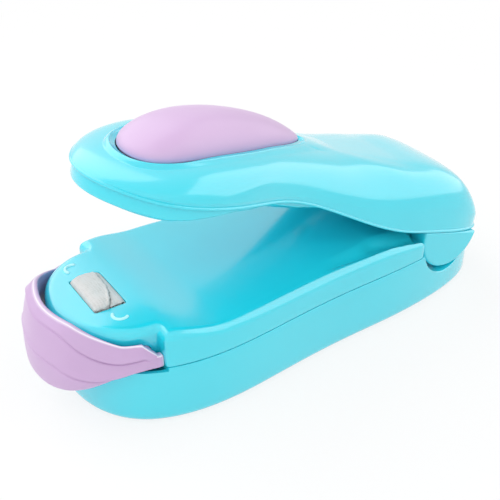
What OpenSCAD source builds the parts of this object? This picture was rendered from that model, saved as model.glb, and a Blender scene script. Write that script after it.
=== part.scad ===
// Hand-held mini bag sealer for two AA cells.
// A heated nose at the front of the base meets a sprung arm hinged at the rear; a thumb button sits
// in the arm's head and a lilac bail guards the nose. Front is -Y, up is +Z, sizes in millimetres.

/* [Base] */
// Full width of the base at its widest
base_w = 38.6; // [37:0.2:42]
// Height of the seam between the two halves
seam_z = 12.3; // [11.8:0.1:12.8]
// Gap left along the seam
seam_gap = 0.2; // [0.1:0.05:0.3]
// Height of the flat deck over the cells
deck_z = 17.8; // [17.6:0.1:19]
// Height of the nose deck around the heater
nose_z = 19.5; // [19:0.1:20.5]
// How far the deck sinks towards the hinge
deck_sink = 1.6; // [0.5:0.1:2]
// Rounding of the bottom edge
bottom_round = 1.8; // [1:0.1:2.5]
// Rounding of the deck edge
deck_round = 1.6; // [1:0.1:2]
// Wall of the base mouldings
wall = 1.6; // [1.2:0.1:2]
// Floor of the lower half
base_floor = 1.8; // [1.6:0.1:2.2]
// Where the guard notch ends at the shoulder
shoulder_y = 0.9; // [0.7:0.1:1.5]

/* [Hinge] */
// Hinge axis behind the cell bay
hinge_back = 11; // [10.8:0.1:11.4]
// Hinge axis above the table
hinge_z = 14.3; // [14:0.1:14.8]
// Radius of the round ears under the arm
ear_r = 7.7; // [7:0.1:8]
// Inner face of each ear from the middle
ear_in = 10.9; // [10.5:0.1:11.2]
// Outer face of each ear from the middle
ear_out = 15; // [14.8:0.1:15]
// Air between an ear and its socket
ear_air = 0.8; // [0.5:0.1:1]
// Diameter of the hinge pin
pin_d = 2.4; // [2:0.1:3]
// Air around a pin in its bore
pin_fit = 0.05; // [0.03:0.01:0.08]

/* [Arm] */
// Opening angle of the resting arm
arm_open = 17; // [16:0.5:18]
// Closing travel of the arm
arm_close = 14.6; // [14:0.1:14.6]
// Height of the head's edge over the hinge axis
rim_h = 6.8; // [6.6:0.1:7.2]
// Height of the rear edge over the hinge axis
edge_h = 0.4; // [0.3:0.1:0.6]
// Height of the arm's back over the hinge axis
back_h = 13.3; // [13:0.1:14]
// Extra height of the head
head_rise = 0.9; // [0.5:0.1:1.2]
// Wall of the arm shell
shell_wall = 1.5; // [1.2:0.1:1.8]
// Underside of the tray over the hinge axis
tray_h = 3.3; // [3.2:0.1:3.6]
// Floor thickness of the tray
tray_floor = 1.3; // [1:0.1:1.5]

/* [Button] */
// Highest point of the button over the hinge axis
button_h = 19.1; // [18:0.1:20]
// Width of the moat around the button
moat_w = 1; // [0.8:0.1:1.2]
// Depth of the moat
moat_deep = 0.6; // [0.4:0.1:1]
// Air around the button in its hole
button_air = 0.35; // [0.3:0.05:0.5]
// Travel of the button
button_travel = 1.2; // [0.8:0.1:1.4]

/* [Guard] */
// Top edge of the guard at the front
guard_top = 20.2; // [19.8:0.1:20.6]
// Bottom edge of the guard at the front
guard_bottom = 7.6; // [7:0.1:9]
// Thickness of the guard wall
guard_t = 1.8; // [1.5:0.1:2]
// Outer face of the guard from the nose wall
guard_stand = 2.5; // [2.4:0.1:2.7]
// Extra flare of the guard's front lower edge
guard_flare = 2.5; // [1:0.1:3]
// Pivot of the guard along the base
guard_pivot_y = -1.6; // [-1.8:0.1:-1.4]
// Pivot of the guard above the table
guard_pivot_z = 14.9; // [14.6:0.1:15.2]
// Diameter of the pivot stubs
stub_d = 2.4; // [2:0.1:2.6]

/* [Heater] */
// Width of the heater cloth
cloth_w = 10.6; // [10:0.1:11]
// Thickness of the heater cloth
cloth_t = 0.3; // [0.2:0.05:0.4]
// Front face of the heater block
block_front = -5.5; // [-5.8:0.1:-5.2]
// Rear face of the heater block
block_rear = -0.8; // [-1:0.1:-0.6]
// Height of the cloth above the nose deck
cloth_proud = 0.15; // [0.1:0.05:0.2]
// Thickness of the element ribbon
ribbon_t = 0.15; // [0.1:0.05:0.2]

/* [Cells] */
// Diameter of a cell
cell_d = 14.5; // [14:0.1:14.5]
// Length of a cell over its button
cell_len = 50.5; // [49.5:0.1:51.5]
// Distance of each cell from the middle
cell_x = 7.45; // [7.4:0.05:7.6]
// Front wall of the cell bay
bay_front = 3.4; // [3:0.1:4]
// Room for springs and contacts behind and before a cell
bay_spare = 4.8; // [4.6:0.1:5.2]
// Thickness of the contact plates
contact_t = 0.4; // [0.3:0.05:0.5]
// Thickness of the cell cover
cover_t = 1.6; // [1.4:0.1:1.6]
// Air around the cell cover
cover_air = 0.35; // [0.3:0.05:0.5]

/* [Hidden] */
$fn = 48;

aqua = [0.40, 0.86, 0.93];
lilac = [0.85, 0.70, 0.90];
white = [0.93, 0.93, 0.91];
steel = [0.72, 0.73, 0.75];
brass = [0.80, 0.66, 0.35];
graphite = [0.22, 0.22, 0.24];

steps = 2;
clear = 0.3;
skim = 0.05;
far = 60;
bay_rear = bay_front + cell_len + bay_spare;
hinge_y = bay_rear + hinge_back;
// The stations are drawn for this hinge distance and stretch with the real one.
drawn_hinge_y = 69.7;
span = hinge_y / drawn_hinge_y;
mid_y = 33.15 * span;
spine_y = 33 * span;

// Plan stations, front to rear: share of the half width, then distance along the base.
base_stations = [[0, -10.6], [0.311, -9.8], [0.591, -7.3], [0.798, -3.3], [0.927, 2], [0.995, 9],
    [1, 15.5], [0.964, 24], [0.917, 34], [0.894, 44], [0.882, 54], [0.839, 63.5], [0.75, 72.5],
    [0.58, 79.3], [0.311, 82.6], [0, 83.4]];
nose_stations = [[0, -12.1], [5.1, -11.2], [9, -9.3], [12, -6.4], [13.9, -3], [14.6, 0.9]];
nose_tail = [14.6, 3];
arm_stations = [[0, -79.4], [4, -78.8], [8, -76.9], [11.6, -74.2], [14.2, -71], [15.9, -66.5],
    [16.3, -61.5], [15.6, -55.5], [14.2, -49.5], [13.3, -44], [13, -38], [13.4, -31], [14.1, -23],
    [14.8, -14], [15.1, -4], [14.6, 4.5], [12.6, 9.6], [8.2, 12.1], [0, 12.7]];
button_stations = [[0, -71.9], [3.1, -71.4], [5.8, -69.8], [7.5, -66.9], [8, -63], [7.6, -57],
    [6.3, -49.8], [4.2, -42.6], [1.9, -37.3], [0, -35.3]];

function unit(v) = v / norm(v);
// Smooth rise from 0 to 1 while v runs over the span s.
function rise(s, v) = let (t = min(1, max(0, (v - s[0]) / (s[1] - s[0])))) t * t * (3 - 2 * t);
function flip(p) = [-p[0], p[1]];
function spline(a, b, c, d, t) =
    (2 * b + (c - a) * t + (2 * a - 5 * b + 4 * c - d) * t * t + (3 * b - a - 3 * c + d) * t * t * t) / 2;
// Curve through the stations of one half; tail is the station after the last.
function half_curve(p, tail) = let (q = concat([flip(p[1])], p, [tail]))
    concat([for (k = [1 : len(q) - 3], i = [0 : steps - 1])
        spline(q[k - 1], q[k], q[k + 1], q[k + 2], i / steps)], [p[len(p) - 1]]);
function full_half(p) = half_curve(p, flip(p[len(p) - 2]));
function loop(h) = concat(h, [for (i = [len(h) - 2 : -1 : 1]) flip(h[i])]);
function inset(l, d) = let (n = len(l)) [for (i = [0 : n - 1])
    let (a = unit(l[i] - l[(i + n - 1) % n]), b = unit(l[(i + 1) % n] - l[i]),
        m = [a[1], -a[0]], k = [b[1], -b[0]]) l[i] - d * (m + k) / (1 + m * k)];
function mean(r) = [for (c = [1 : len(r)]) 1] * r / len(r);
function level(l, z) = [for (p = l) [p[0], p[1], z]];

base_half = full_half([for (s = base_stations) [s[0] * base_w / 2, s[1] * (s[1] > 0 ? span : 1)]]);
base_loop = loop(base_half);
nose_half = half_curve(nose_stations, nose_tail);
shoulder_x = lookup(shoulder_y, [for (p = base_half) [p[1], p[0]]]);
upper_half = concat(nose_half, [[shoulder_x, shoulder_y]],
    [for (p = base_half) if (p[1] > shoulder_y + 2 * deck_round) p]);
upper_loop = loop(upper_half);
arm_loop = loop(full_half([for (s = arm_stations) [s[0], s[1] * span]]));
button_loop = loop(full_half([for (s = button_stations) [s[0], s[1] * span]]));
moat_loop = inset(button_loop, -moat_w);

// Where each form begins and ends, along the base from the shoulder and along the arm from the hinge.
deck_fall = [1.5, 13];
deck_dip = [50, 64] * span;
edge_climb = [11, 48] * span;
head_climb = [25, 48] * span;
head_droop = 52 * span;
head_droop_rate = 0.0068;
square_hinge = 3.9;
square_head = 2.7;
square_span = [-6, 30] * span;
seat_h = 13.6;
seat_droop = 40 * span;
seat_droop_rate = 0.0039;
dome_peak = 50 * span;
dome_droop_rate = 0.0085;
tray_in_neck = 2.4;
tray_in_head = 0.5;
tray_widen = [44, 54] * span;

// Height of the deck along the base.
function deck_at(y) = nose_z - (nose_z - deck_z) * rise(deck_fall, y) - deck_sink * rise(deck_dip, y);
// Lower edge and back of the arm, over the hinge axis.
function edge_at(y) = edge_h + (rim_h - edge_h) * rise(edge_climb, -y);
function back_at(y) = back_h + head_rise * rise(head_climb, -y)
    - head_droop_rate * pow(max(0, -y - head_droop), 2);
// Squareness of the arm's cross-section, full at the hinge and softer at the head.
function square_at(y) = square_hinge + (square_head - square_hinge) * rise(square_span, -y);
// Seat around the button, crown of the button and inset of the tray.
function seat_at(y) = seat_h - seat_droop_rate * pow(max(0, -y - seat_droop), 2);
function dome_at(y) = button_h - dome_droop_rate * pow(-y - dome_peak, 2);
function tray_inset(y) = tray_in_neck + (tray_in_head - tray_in_neck) * rise(tray_widen, -y);

// Closed skin over a list of rings, each end capped to the ring's middle.
module skin(rings) {
    n = len(rings[0]);
    m = len(rings);
    points = concat([for (r = rings) each r], [mean(rings[0]), mean(rings[m - 1])]);
    sides = [for (j = [0 : m - 2], i = [0 : n - 1]) let (a = j * n + i, b = j * n + (i + 1) % n)
        each [[a, b, b + n], [a, b + n, a + n]]];
    ends = [for (i = [0 : n - 1]) let (k = (i + 1) % n, e = (m - 1) * n)
        each [[m * n, k, i], [m * n + 1, e + i, e + k]]];
    polyhedron(points, concat(sides, ends));
}

// Closed band: the last ring joins the first again.
module band(rings) {
    n = len(rings[0]);
    m = len(rings);
    faces = [for (j = [0 : m - 1], i = [0 : n - 1])
        let (a = j * n + i, b = j * n + (i + 1) % n, c = (j + 1) % m * n - j * n)
        each [[a, b, b + c], [a, b + c, a + c]]];
    polyhedron([for (r = rings) each r], faces);
}

module in_place() translate([0, -mid_y, 0]) children();
module on_hinge() translate([0, hinge_y, hinge_z]) children();
module on_arm() in_place() on_hinge() rotate([-arm_open, 0, 0]) children();
module both_sides() {
    children();
    mirror([1, 0, 0]) children();
}
// Rod along X from a to b.
module rod(d, a, b) translate([a, 0, 0]) rotate([0, 90, 0]) cylinder(d = d, h = b - a);
// Rod along Y from a to b.
module bar(d, a, b) translate([0, a, 0]) rotate([-90, 0, 0]) cylinder(d = d, h = b - a);
module box(a, b) translate(a) cube(b - a);

cover_lift = 0.1;
cell_air = 0.25;
cell_z = cover_lift + cover_t + cell_air + cell_d / 2;
nub_d = 5.5;
nub_len = 1;
dimple_d = 6;
dimple_t = 0.4;
cell_gap = 0.1;
tab_y = bay_front + skim;
cell_right_y = tab_y + contact_t + dimple_t + cell_gap;
bridge_y = bay_rear - skim - contact_t;
cell_left_y = bridge_y - dimple_t - cell_gap - cell_len;
contact_low = 3;
contact_high = 13.6;

bay_top = 14.2;
pocket_half = 8;
pocket_front = -7.5;
pocket_rear = 2;
pocket_top = 17.2;
window_air = 0.35;
block_half = 5;
block_top = nose_z + cloth_proud - cloth_t - ribbon_t - 2 * skim;
post_half = 6.5;
post_top = 10;
cloth_low = 15;
ribbon_w = 1.5;
ribbon_low = 13;
block_y = (block_front + block_rear) / 2;

knuckle_half = ear_in - clear;
knuckle_r = 4.6;
pedestal_rear = hinge_y - 3.7;
pedestal_top = 15.5;
rear_cut_y = hinge_y - ear_r - ear_air;
pin_half = 13;
ear_core_r = 6;
ear_core_out = 12.3;
ear_edge = 0.6;
slot_half = 3.2;
tilt = arm_open - arm_close;
gutter_in = 12.5;
gutter_out = 15.4;
gutter_from = 6;
gutter_to = 30;

cover_half = 14.2;
cover_pivot_y = 5.6;
cover_end = bay_rear - 0.5;
cover_mid = cover_lift + cover_t / 2;
peg_d = 1;
peg_len = 1.4;
thumb_r = 4;
thumb_y = cover_end - 5;
thumb_deep = 0.6;

screw_d = 2;
screw_head_d = 3.8;
screw_head_t = 1.6;
screw_sunk = 0.4;
screw_fit = 0.1;
boss_d = 5;
front_screws = [[11, -3], [-11, -3]];
rear_screw_y = bay_rear + 4.1;
rear_screws = [[7.5, rear_screw_y], [-7.5, rear_screw_y]];
front_screw_top = 16.6;
rear_screw_top = 14.8;
cross_w = 0.5;
cross_len = 2.2;
cross_deep = 0.7;

lead_d = 1.2;
lead_z = 15.2;
lead_x = 0.8;
groove_half = 1.6;
groove_top = 16;
groove_end = bay_rear + 3.8;
ledge_in = 13.4;
ledge_deep = 0.7;
mark_x = 9.1;
mark_y = -4;
mark_r = 1.8;
mark_d = 0.6;

arm_spine = -33 * span;
rim_gap = 0.25;
tray_top = rim_h - rim_gap;
// Inset and height over the underside of the tray's rounded edge.
tray_edge = [[0, 1.6], [0.4, 0.5], [1.4, 0]];
tray_rim = 1.8;
tray_end = -12 * span;
web_out = 12.5;
web_high = 6;
flange_t = 1.2;
flange_grip = 1.5;
lip_w = 1;
lip_gap = 0.4;
lip_t = 0.8;
button_spine = -57 * span;
button_square = 2.3;
lip_drop = moat_deep + flange_t + lip_gap;
stem_y = -53 * span;
stem_d = 3.6;
arm_screw_d = 1.8;
arm_screw_head_d = 3.6;
arm_screw_head_t = 1.4;
arm_screw_top = 10.5;
arm_boss_d = 4.6;
arm_boss_top = 11.3;
arm_screws_at = [[12, -57 * span], [-12, -57 * span], [8, -24 * span], [-8, -24 * span]];
pad_half = 6;
pad_mid = block_y - hinge_y - 0.25;
pad_len = 5.4;
pad_front = pad_mid - pad_len / 2;
pad_rear = pad_mid + pad_len / 2;
pad_proud = 0.65;
pad_in = 0.65;
leaf_half = 2.5;
leaf_t = 0.2;
leaf_low = tray_h + tray_floor + skim;
leaf_gap = 1.35;
lower_leaf_span = [-60, -47] * span;
upper_leaf_span = [-58, -43.5] * span;
leaf_foot = 2;
stem_low = leaf_low + leaf_gap + leaf_t + button_travel + lip_gap;

nose_half_w = nose_stations[len(nose_stations) - 1][0];
guard_end_air = 0.4;
guard_end = shoulder_y - guard_end_air;
guard_reach = guard_end - nose_stations[0][1];
ridge_h = 0.35;
ridges = [0.3, 0.66];
ridge_half = 0.05;
ridge_fade = [0.8, 0.95];
flare_fade = [0.3, 0.95];
flare_power = 1.6;
guard_dip = 3;
guard_dip_at = [0.42, 0.68];
guard_bump = 0.7;
guard_bump_at = [0.7, 0.82];
guard_tip = 2.7;
guard_tip_at = [0.84, 1];
guard_end_low = seam_z + 0.6;
guard_low_at = [0.1, 0.9];

lower_rings = concat([level(base_loop, seam_z)], [for (a = [90 : -22.5 : 0])
    level(inset(base_loop, bottom_round * (1 - sin(a))), bottom_round * (1 - cos(a)))]);
function deck_ring(l, drop) = [for (p = l) [p[0], p[1], deck_at(p[1]) - drop]];
function deck_inner(s) = [for (p = inset(upper_loop, deck_round))
    [s * p[0], spine_y + s * (p[1] - spine_y)]];
upper_rings = concat([for (s = [0.1, 0.35, 0.6, 0.85]) deck_ring(deck_inner(s), 0)],
    [for (a = [90 : -22.5 : 0])
        deck_ring(inset(upper_loop, deck_round * (1 - cos(a))), deck_round * (1 - sin(a)))],
    [level(upper_loop, seam_z + seam_gap)]);

// One ring of the arm's dome at the angle a up from its lower edge.
function arm_ring(l, a, drop) = [for (p = l)
    let (k = square_at(p[1]), s = pow(cos(a), 2 / k), t = pow(sin(a), 2 / k),
        y = arm_spine + s * (p[1] - arm_spine), e = edge_at(p[1]))
    [s * p[0], y, e + (back_at(y) - drop - e) * t]];
shell_rings = concat([for (a = [88, 80, 70, 60, 50, 40, 30, 20, 10, 0]) arm_ring(arm_loop, a, 0)],
    [for (a = [0, 14, 28, 42, 56, 70, 86]) arm_ring(inset(arm_loop, shell_wall), a, shell_wall)]);
function tray_loop(more) = let (n = len(arm_loop)) [for (i = [0 : n - 1])
    inset(arm_loop, tray_inset(arm_loop[i][1]) + more)[i]];
tray_rings = concat([level(tray_loop(0), tray_top)],
    [for (e = tray_edge) level(tray_loop(e[0]), tray_h + e[1])]);
function seat_ring(l, drop) = [for (p = l) [p[0], p[1], seat_at(p[1]) - drop]];
function dome_ring(a) = let (s = pow(cos(a), 2 / button_square), t = pow(sin(a), 2 / button_square))
    [for (p = button_loop) let (y = button_spine + s * (p[1] - button_spine))
        [s * p[0], y, seat_at(y) + (dome_at(y) - seat_at(y)) * t]];
lip_loop = inset(button_loop, -lip_w);
button_rings = concat([for (a = [88, 78, 66, 54, 42, 30, 18, 8, 0]) dome_ring(a)],
    [seat_ring(button_loop, lip_drop), seat_ring(lip_loop, lip_drop), seat_ring(lip_loop, lip_drop + lip_t),
        seat_ring([for (p = button_loop) [p[0] / 2, button_spine + (p[1] - button_spine) / 2]],
            lip_drop + lip_t)]);

// Guard heights by the share of the way round from the front to the arm's end.
function round_at(p) = atan2(abs(p[0]) / nose_half_w, (guard_end - p[1]) / guard_reach) / 90;
function guard_high(t) = guard_top - guard_dip * rise(guard_dip_at, t) + guard_bump * rise(guard_bump_at, t)
    - guard_tip * rise(guard_tip_at, t);
function guard_low(t) = guard_bottom + (guard_end_low - guard_bottom) * rise(guard_low_at, t);
function ridge_at(u) = ridge_h * max([for (r = ridges) max(0, 1 - abs(u - r) / ridge_half)]);
guard_half = concat([for (p = nose_half) if (p[1] < guard_end - clear) p], [[nose_half_w, guard_end]]);
guard_path = concat([for (i = [len(guard_half) - 1 : -1 : 1]) flip(guard_half[i])], guard_half);
guard_us = [0, 0.12, 0.25, 0.3, 0.35, 0.48, 0.61, 0.66, 0.71, 0.86, 1];
guard_rings = let (n = len(guard_path)) [for (i = [0 : n - 1])
    let (p = guard_path[i], e = unit(guard_path[min(n - 1, i + 1)] - guard_path[max(0, i - 1)]),
        out = [e[1], -e[0]], t = round_at(p), low = guard_low(t), tall = guard_high(t) - low,
        flare = guard_flare * (1 - rise(flare_fade, t)), fade = 1 - rise(ridge_fade, t))
    concat(
        [for (u = guard_us) let (o = guard_stand + flare * (1 - pow(u, flare_power)) + fade * ridge_at(u))
            [p[0] + o * out[0], p[1] + o * out[1], low + u * tall]],
        [for (k = [len(guard_us) - 1 : -2 : 0])
            let (u = guard_us[k], o = guard_stand + flare * (1 - pow(u, flare_power)) - guard_t)
            [p[0] + o * out[0], p[1] + o * out[1], low + u * tall]])];

// Wire wound up the Z axis from radius a to radius b.
function coil(a, b, tall, turns, d) = let (n = round(8 * turns)) [for (i = [0 : n])
    let (g = 360 * turns * i / n, r = a + (b - a) * i / n, out = [cos(g), sin(g), 0],
        along = unit([-r * sin(g), r * cos(g), tall / turns / 2 / PI]), side = cross(along, out))
    [for (k = [300 : -60 : 0]) r * out + [0, 0, tall * i / n] + d / 2 * (cos(k) * out + sin(k) * side)]];
// Least gap of a wound wire to itself, from the middles of its rings a turn apart.
function coil_gap(c, d) = min([for (i = [0 : len(c) - 9]) norm(mean(c[i + 8]) - mean(c[i]))]) - d;

module bay_plan(l) intersection() {
    polygon(inset(l, wall));
    translate([-far, -far]) square([2 * far, far + bay_rear]);
}
module sockets() on_hinge() both_sides() rod(2 * (ear_r + ear_air), knuckle_half, far);
module screw_holes(d) for (p = concat(front_screws, rear_screws))
    translate([p[0], p[1], -clear]) cylinder(d = d, h = front_screw_top + 2 * clear);

module lower_housing() color(aqua) in_place() difference() {
    union() {
        difference() {
            skin(lower_rings);
            translate([0, 0, base_floor]) linear_extrude(seam_z) bay_plan(base_loop);
        }
        box([-cover_half, bay_front - wall, base_floor - skim], [cover_half, bay_front, seam_z]);
        box([-post_half, block_front, base_floor - skim], [post_half, block_rear, post_top]);
        for (p = front_screws)
            translate([p[0], p[1], base_floor - skim]) cylinder(d = boss_d, h = seam_z - base_floor + skim);
    }
    box([-cover_half - cover_air, cover_pivot_y - cover_t / 2 - cover_air, -clear],
        [cover_half + cover_air, cover_end + cover_air, base_floor + skim]);
    translate([0, cover_pivot_y, cover_mid])
        rod(peg_d + 2 * pin_fit, -cover_half - peg_len - clear, cover_half + peg_len + clear);
    sockets();
    on_hinge() rod(2 * (knuckle_r + clear), -ear_in, ear_in);
    on_hinge() rotate([-arm_open, 0, 0]) box([-far, 0, edge_h - clear], [far, far, far]);
    both_sides() box([ledge_in, -far, seam_z - ledge_deep], [far, shoulder_y + clear, far]);
    screw_holes(screw_d + screw_fit);
    for (p = concat(front_screws, rear_screws)) translate([p[0], p[1], -clear])
        cylinder(d = screw_head_d + clear, h = clear + screw_sunk + screw_head_t + skim);
}

// Floor under the arm's side walls where they drop between the rails.
module gutter() translate([gutter_in, 0, 0]) rotate([90, 0, 90]) linear_extrude(gutter_out - gutter_in)
    polygon(concat([for (v = [gutter_from : 2 : gutter_to]) let (e = edge_at(-v) - clear - skim)
        [hinge_y - v * cos(tilt) + e * sin(tilt), hinge_z + v * sin(tilt) + e * cos(tilt)]],
        [[hinge_y - gutter_to, far], [hinge_y, far]]));

module hinge_block() difference() {
    union() {
        box([-knuckle_half, bay_rear, seam_z + seam_gap], [knuckle_half, pedestal_rear, pedestal_top]);
        box([-knuckle_half, bay_rear, seam_z + seam_gap], [knuckle_half, hinge_y + knuckle_r, hinge_z]);
        on_hinge() rod(2 * knuckle_r, -knuckle_half, knuckle_half);
    }
    on_hinge() rod(pin_d + 2 * pin_fit, -far, far);
    on_hinge() box([-slot_half, -knuckle_r + clear, -hinge_coil_r - hinge_wire / 2 - clear],
        [slot_half, far, far]);
}

module upper_housing() color(aqua) in_place() difference() {
    union() {
        difference() {
            skin(upper_rings);
            translate([0, 0, seam_z]) linear_extrude(bay_top - seam_z) bay_plan(upper_loop);
            both_sides() translate([cell_x, 0, cell_z]) bar(cell_d + 2 * cell_air, bay_front, bay_rear);
            box([-pocket_half, pocket_front, seam_z], [pocket_half, pocket_rear, pocket_top]);
            both_sides() gutter();
            box([-far, rear_cut_y, seam_z], [far, 2 * far, far]);
            sockets();
        }
        hinge_block();
        both_sides() translate([mark_x, mark_y, nose_z]) rotate(-135)
            rotate_extrude(angle = 180) translate([mark_r, 0]) circle(d = mark_d);
    }
    box([-cloth_w / 2 - window_air, block_front - cloth_t - window_air, post_top],
        [cloth_w / 2 + window_air, block_rear + cloth_t + window_air, far]);
    box([-groove_half, pocket_rear - skim, seam_z], [groove_half, groove_end, groove_top]);
    translate([0, guard_pivot_y, guard_pivot_z]) both_sides()
        rod(stub_d + 2 * pin_fit, nose_half_w - guard_t, far);
    screw_holes(screw_d + screw_fit);
}

module heater_block() color(white) in_place()
    box([-block_half, block_front, post_top + skim], [block_half, block_rear, block_top]);

module heating_element() color(steel) in_place() difference() {
    box([-block_half - skim - ribbon_t, block_y - ribbon_w / 2, ribbon_low],
        [block_half + skim + ribbon_t, block_y + ribbon_w / 2, block_top + skim + ribbon_t]);
    box([-block_half - skim, -far, 0], [block_half + skim, far, block_top + skim]);
}

module heater_cloth() color(white) in_place() difference() {
    box([-cloth_w / 2, block_front - skim - cloth_t, cloth_low],
        [cloth_w / 2, block_rear + skim + cloth_t, nose_z + cloth_proud]);
    box([-far, block_front - skim, 0], [far, block_rear + skim, nose_z + cloth_proud - cloth_t]);
}

module heater_terminals() color(brass) in_place() both_sides()
    box([block_half + ribbon_t + 2 * skim, block_y - ribbon_w, post_top + skim],
        [block_half + ribbon_t + 2 * skim + contact_t, block_y + ribbon_w, bay_top]);

// One cell with its button end at the far end of Y.
module cell() {
    bar(cell_d, 0, cell_len - nub_len);
    bar(nub_d, cell_len - nub_len - skim, cell_len);
}

module battery_cells() color(graphite) in_place() {
    translate([-cell_x, cell_left_y, cell_z]) cell();
    translate([cell_x, cell_right_y + cell_len, cell_z]) rotate(180) cell();
}

spring_wire = 0.7;
spring_wide = 4.2;
spring_narrow = 2.6;
spring_turns = 2.5;
spring_tall = cell_left_y - tab_y - contact_t - spring_wire - 2 * cell_gap;
cell_coil = coil(spring_wide, spring_narrow, spring_tall, spring_turns, spring_wire);
hinge_wire = 0.7;
hinge_coil_r = 2.3;
hinge_turns = 4;
hinge_coil_len = 4.7;
hinge_coil = coil(hinge_coil_r, hinge_coil_r, hinge_coil_len, hinge_turns, hinge_wire);
thumb_wire = 0.5;
thumb_coil_r = 2;
thumb_turns = 2.25;
thumb_coil_y = -65 * span;
thumb_coil_front = thumb_coil_y - thumb_coil_r - thumb_wire;
thumb_coil_tall = seat_at(thumb_coil_front) - lip_drop - lip_t - leaf_low - thumb_wire - 2 * cell_gap;
thumb_coil = coil(thumb_coil_r, thumb_coil_r, thumb_coil_tall, thumb_turns, thumb_wire);
echo(coil_gaps = [coil_gap(cell_coil, spring_wire), coil_gap(hinge_coil, hinge_wire),
    coil_gap(thumb_coil, thumb_wire)]);

module battery_springs() color(steel) in_place() {
    translate([-cell_x, tab_y + contact_t + spring_wire / 2 + cell_gap, cell_z]) rotate([-90, 0, 0])
        skin(cell_coil);
    translate([cell_x, bridge_y - spring_wire / 2 - cell_gap, cell_z]) rotate([90, 0, 0]) skin(cell_coil);
}

module battery_bridge_plate() color(steel) in_place() {
    box([-cover_half + wall, bridge_y, contact_low], [cover_half - wall, bridge_y + contact_t, contact_high]);
    translate([-cell_x, 0, cell_z]) bar(dimple_d, bridge_y - dimple_t, bridge_y + skim);
}

module battery_tabs() color(steel) in_place() {
    both_sides() box([cell_x - contact_high + cell_z, tab_y, contact_low],
        [cell_x + contact_high - cell_z, tab_y + contact_t, contact_high]);
    translate([cell_x, 0, cell_z]) bar(dimple_d, tab_y + contact_t - skim, tab_y + contact_t + dimple_t);
}

// Pan-head screw standing on its head, with a cross recess.
module screw(d, head_d, head_t, long) difference() {
    union() {
        cylinder(d = head_d, h = head_t);
        cylinder(d = d, h = long);
    }
    for (a = [0, 90]) rotate(a)
        box([-cross_len / 2, -cross_w / 2, -clear], [cross_len / 2, cross_w / 2, cross_deep]);
}

module housing_screws() color(steel) in_place() {
    for (p = front_screws) translate([p[0], p[1], screw_sunk])
        screw(screw_d, screw_head_d, screw_head_t, front_screw_top - screw_sunk);
    for (p = rear_screws) translate([p[0], p[1], screw_sunk])
        screw(screw_d, screw_head_d, screw_head_t, rear_screw_top - screw_sunk);
}

module hinge_pin() color(steel) in_place() on_hinge() rod(pin_d, -pin_half, pin_half);

module return_spring() color(steel) in_place() on_hinge() translate([-hinge_coil_len / 2, 0, 0])
    rotate([0, 90, 0]) skin(hinge_coil);

// Round lead along a smooth curve through the points p.
function lead_rings(p) =
    let (q = concat([2 * p[0] - p[1]], p, [2 * p[len(p) - 1] - p[len(p) - 2]]),
        c = concat([for (k = [1 : len(q) - 3], i = [0 : 3])
            spline(q[k - 1], q[k], q[k + 1], q[k + 2], i / 4)], [p[len(p) - 1]]), n = len(c))
    [for (i = [0 : n - 1]) let (along = unit(c[min(n - 1, i + 1)] - c[max(0, i - 1)]),
        side = unit(cross(along, [0, 0, 1])), up = cross(side, along))
        [for (a = [0 : 45 : 315]) c[i] + lead_d / 2 * (cos(a) * side + sin(a) * up)]];

module base_leads() color(graphite) in_place() {
    tip = block_half + ribbon_t + 3 * skim + contact_t + lead_d / 2;
    over = (seam_z + bay_top) / 2;
    skin(lead_rings([[tip, block_y, over], [cell_x - lead_d / 2, 0, over], [cell_x, bay_front - wall, over],
        [cell_x, bay_front, over]]));
    skin(lead_rings([[-tip, block_y, over], [-tip, block_rear, over],
        [-(tip + lead_x) / 2, 0, lead_z - clear], [-lead_x, pocket_rear, lead_z],
        [-lead_x, pocket_rear + 3 * lead_d, lead_z], [-lead_x, spine_y, lead_z],
        [-lead_x, groove_end - clear, lead_z]]));
}

module battery_cover() color(aqua) in_place() {
    difference() {
        union() {
            box([-cover_half, cover_pivot_y, cover_lift], [cover_half, cover_end, cover_lift + cover_t]);
            translate([0, cover_pivot_y, cover_mid]) rod(cover_t, -cover_half, cover_half);
        }
        translate([0, thumb_y, cover_lift - skim]) cylinder(r = thumb_r, h = thumb_deep);
    }
    translate([0, cover_pivot_y, cover_mid]) rod(peg_d, -cover_half - peg_len, cover_half + peg_len);
}

module front_guard() color(lilac) in_place() union() {
    skin(guard_rings);
    translate([0, guard_pivot_y, guard_pivot_z]) both_sides()
        rod(stub_d, nose_half_w - guard_t + clear, nose_half_w + guard_stand - guard_t / 2);
}

module arm_shell() color(aqua) on_arm() difference() {
    union() {
        difference() {
            skin(shell_rings);
            translate([0, 0, rim_h]) linear_extrude(far) polygon(moat_loop);
        }
        band([seat_ring(inset(moat_loop, -flange_grip), moat_deep),
            seat_ring(inset(moat_loop, -flange_grip), moat_deep + flange_t),
            seat_ring(inset(button_loop, -button_air), moat_deep + flange_t),
            seat_ring(inset(button_loop, -button_air), moat_deep)]);
        for (p = arm_screws_at)
            translate([p[0], p[1], rim_h]) cylinder(d = arm_boss_d, h = arm_boss_top - rim_h);
    }
    for (p = arm_screws_at) translate([p[0], p[1], 0])
        cylinder(d = arm_screw_d + screw_fit, h = arm_screw_top + skim);
}

// Round ear under the arm's rear edge, let into the shell above the edge.
module ear() difference() {
    union() {
        rod(2 * ear_core_r, ear_in, ear_core_out);
        intersection() {
            union() {
                rod(2 * ear_r, ear_in, ear_out - ear_edge);
                translate([ear_out - ear_edge, 0, 0]) rotate([0, 90, 0])
                    cylinder(r1 = ear_r, r2 = ear_r - ear_edge, h = ear_edge);
            }
            box([0, -far, -far], [far, far, edge_h - clear]);
        }
        box([ear_in, tray_end - wall, tray_h], [web_out, 0, web_high]);
    }
    rod(pin_d + 2 * pin_fit, 0, pin_half + clear);
}

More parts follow.
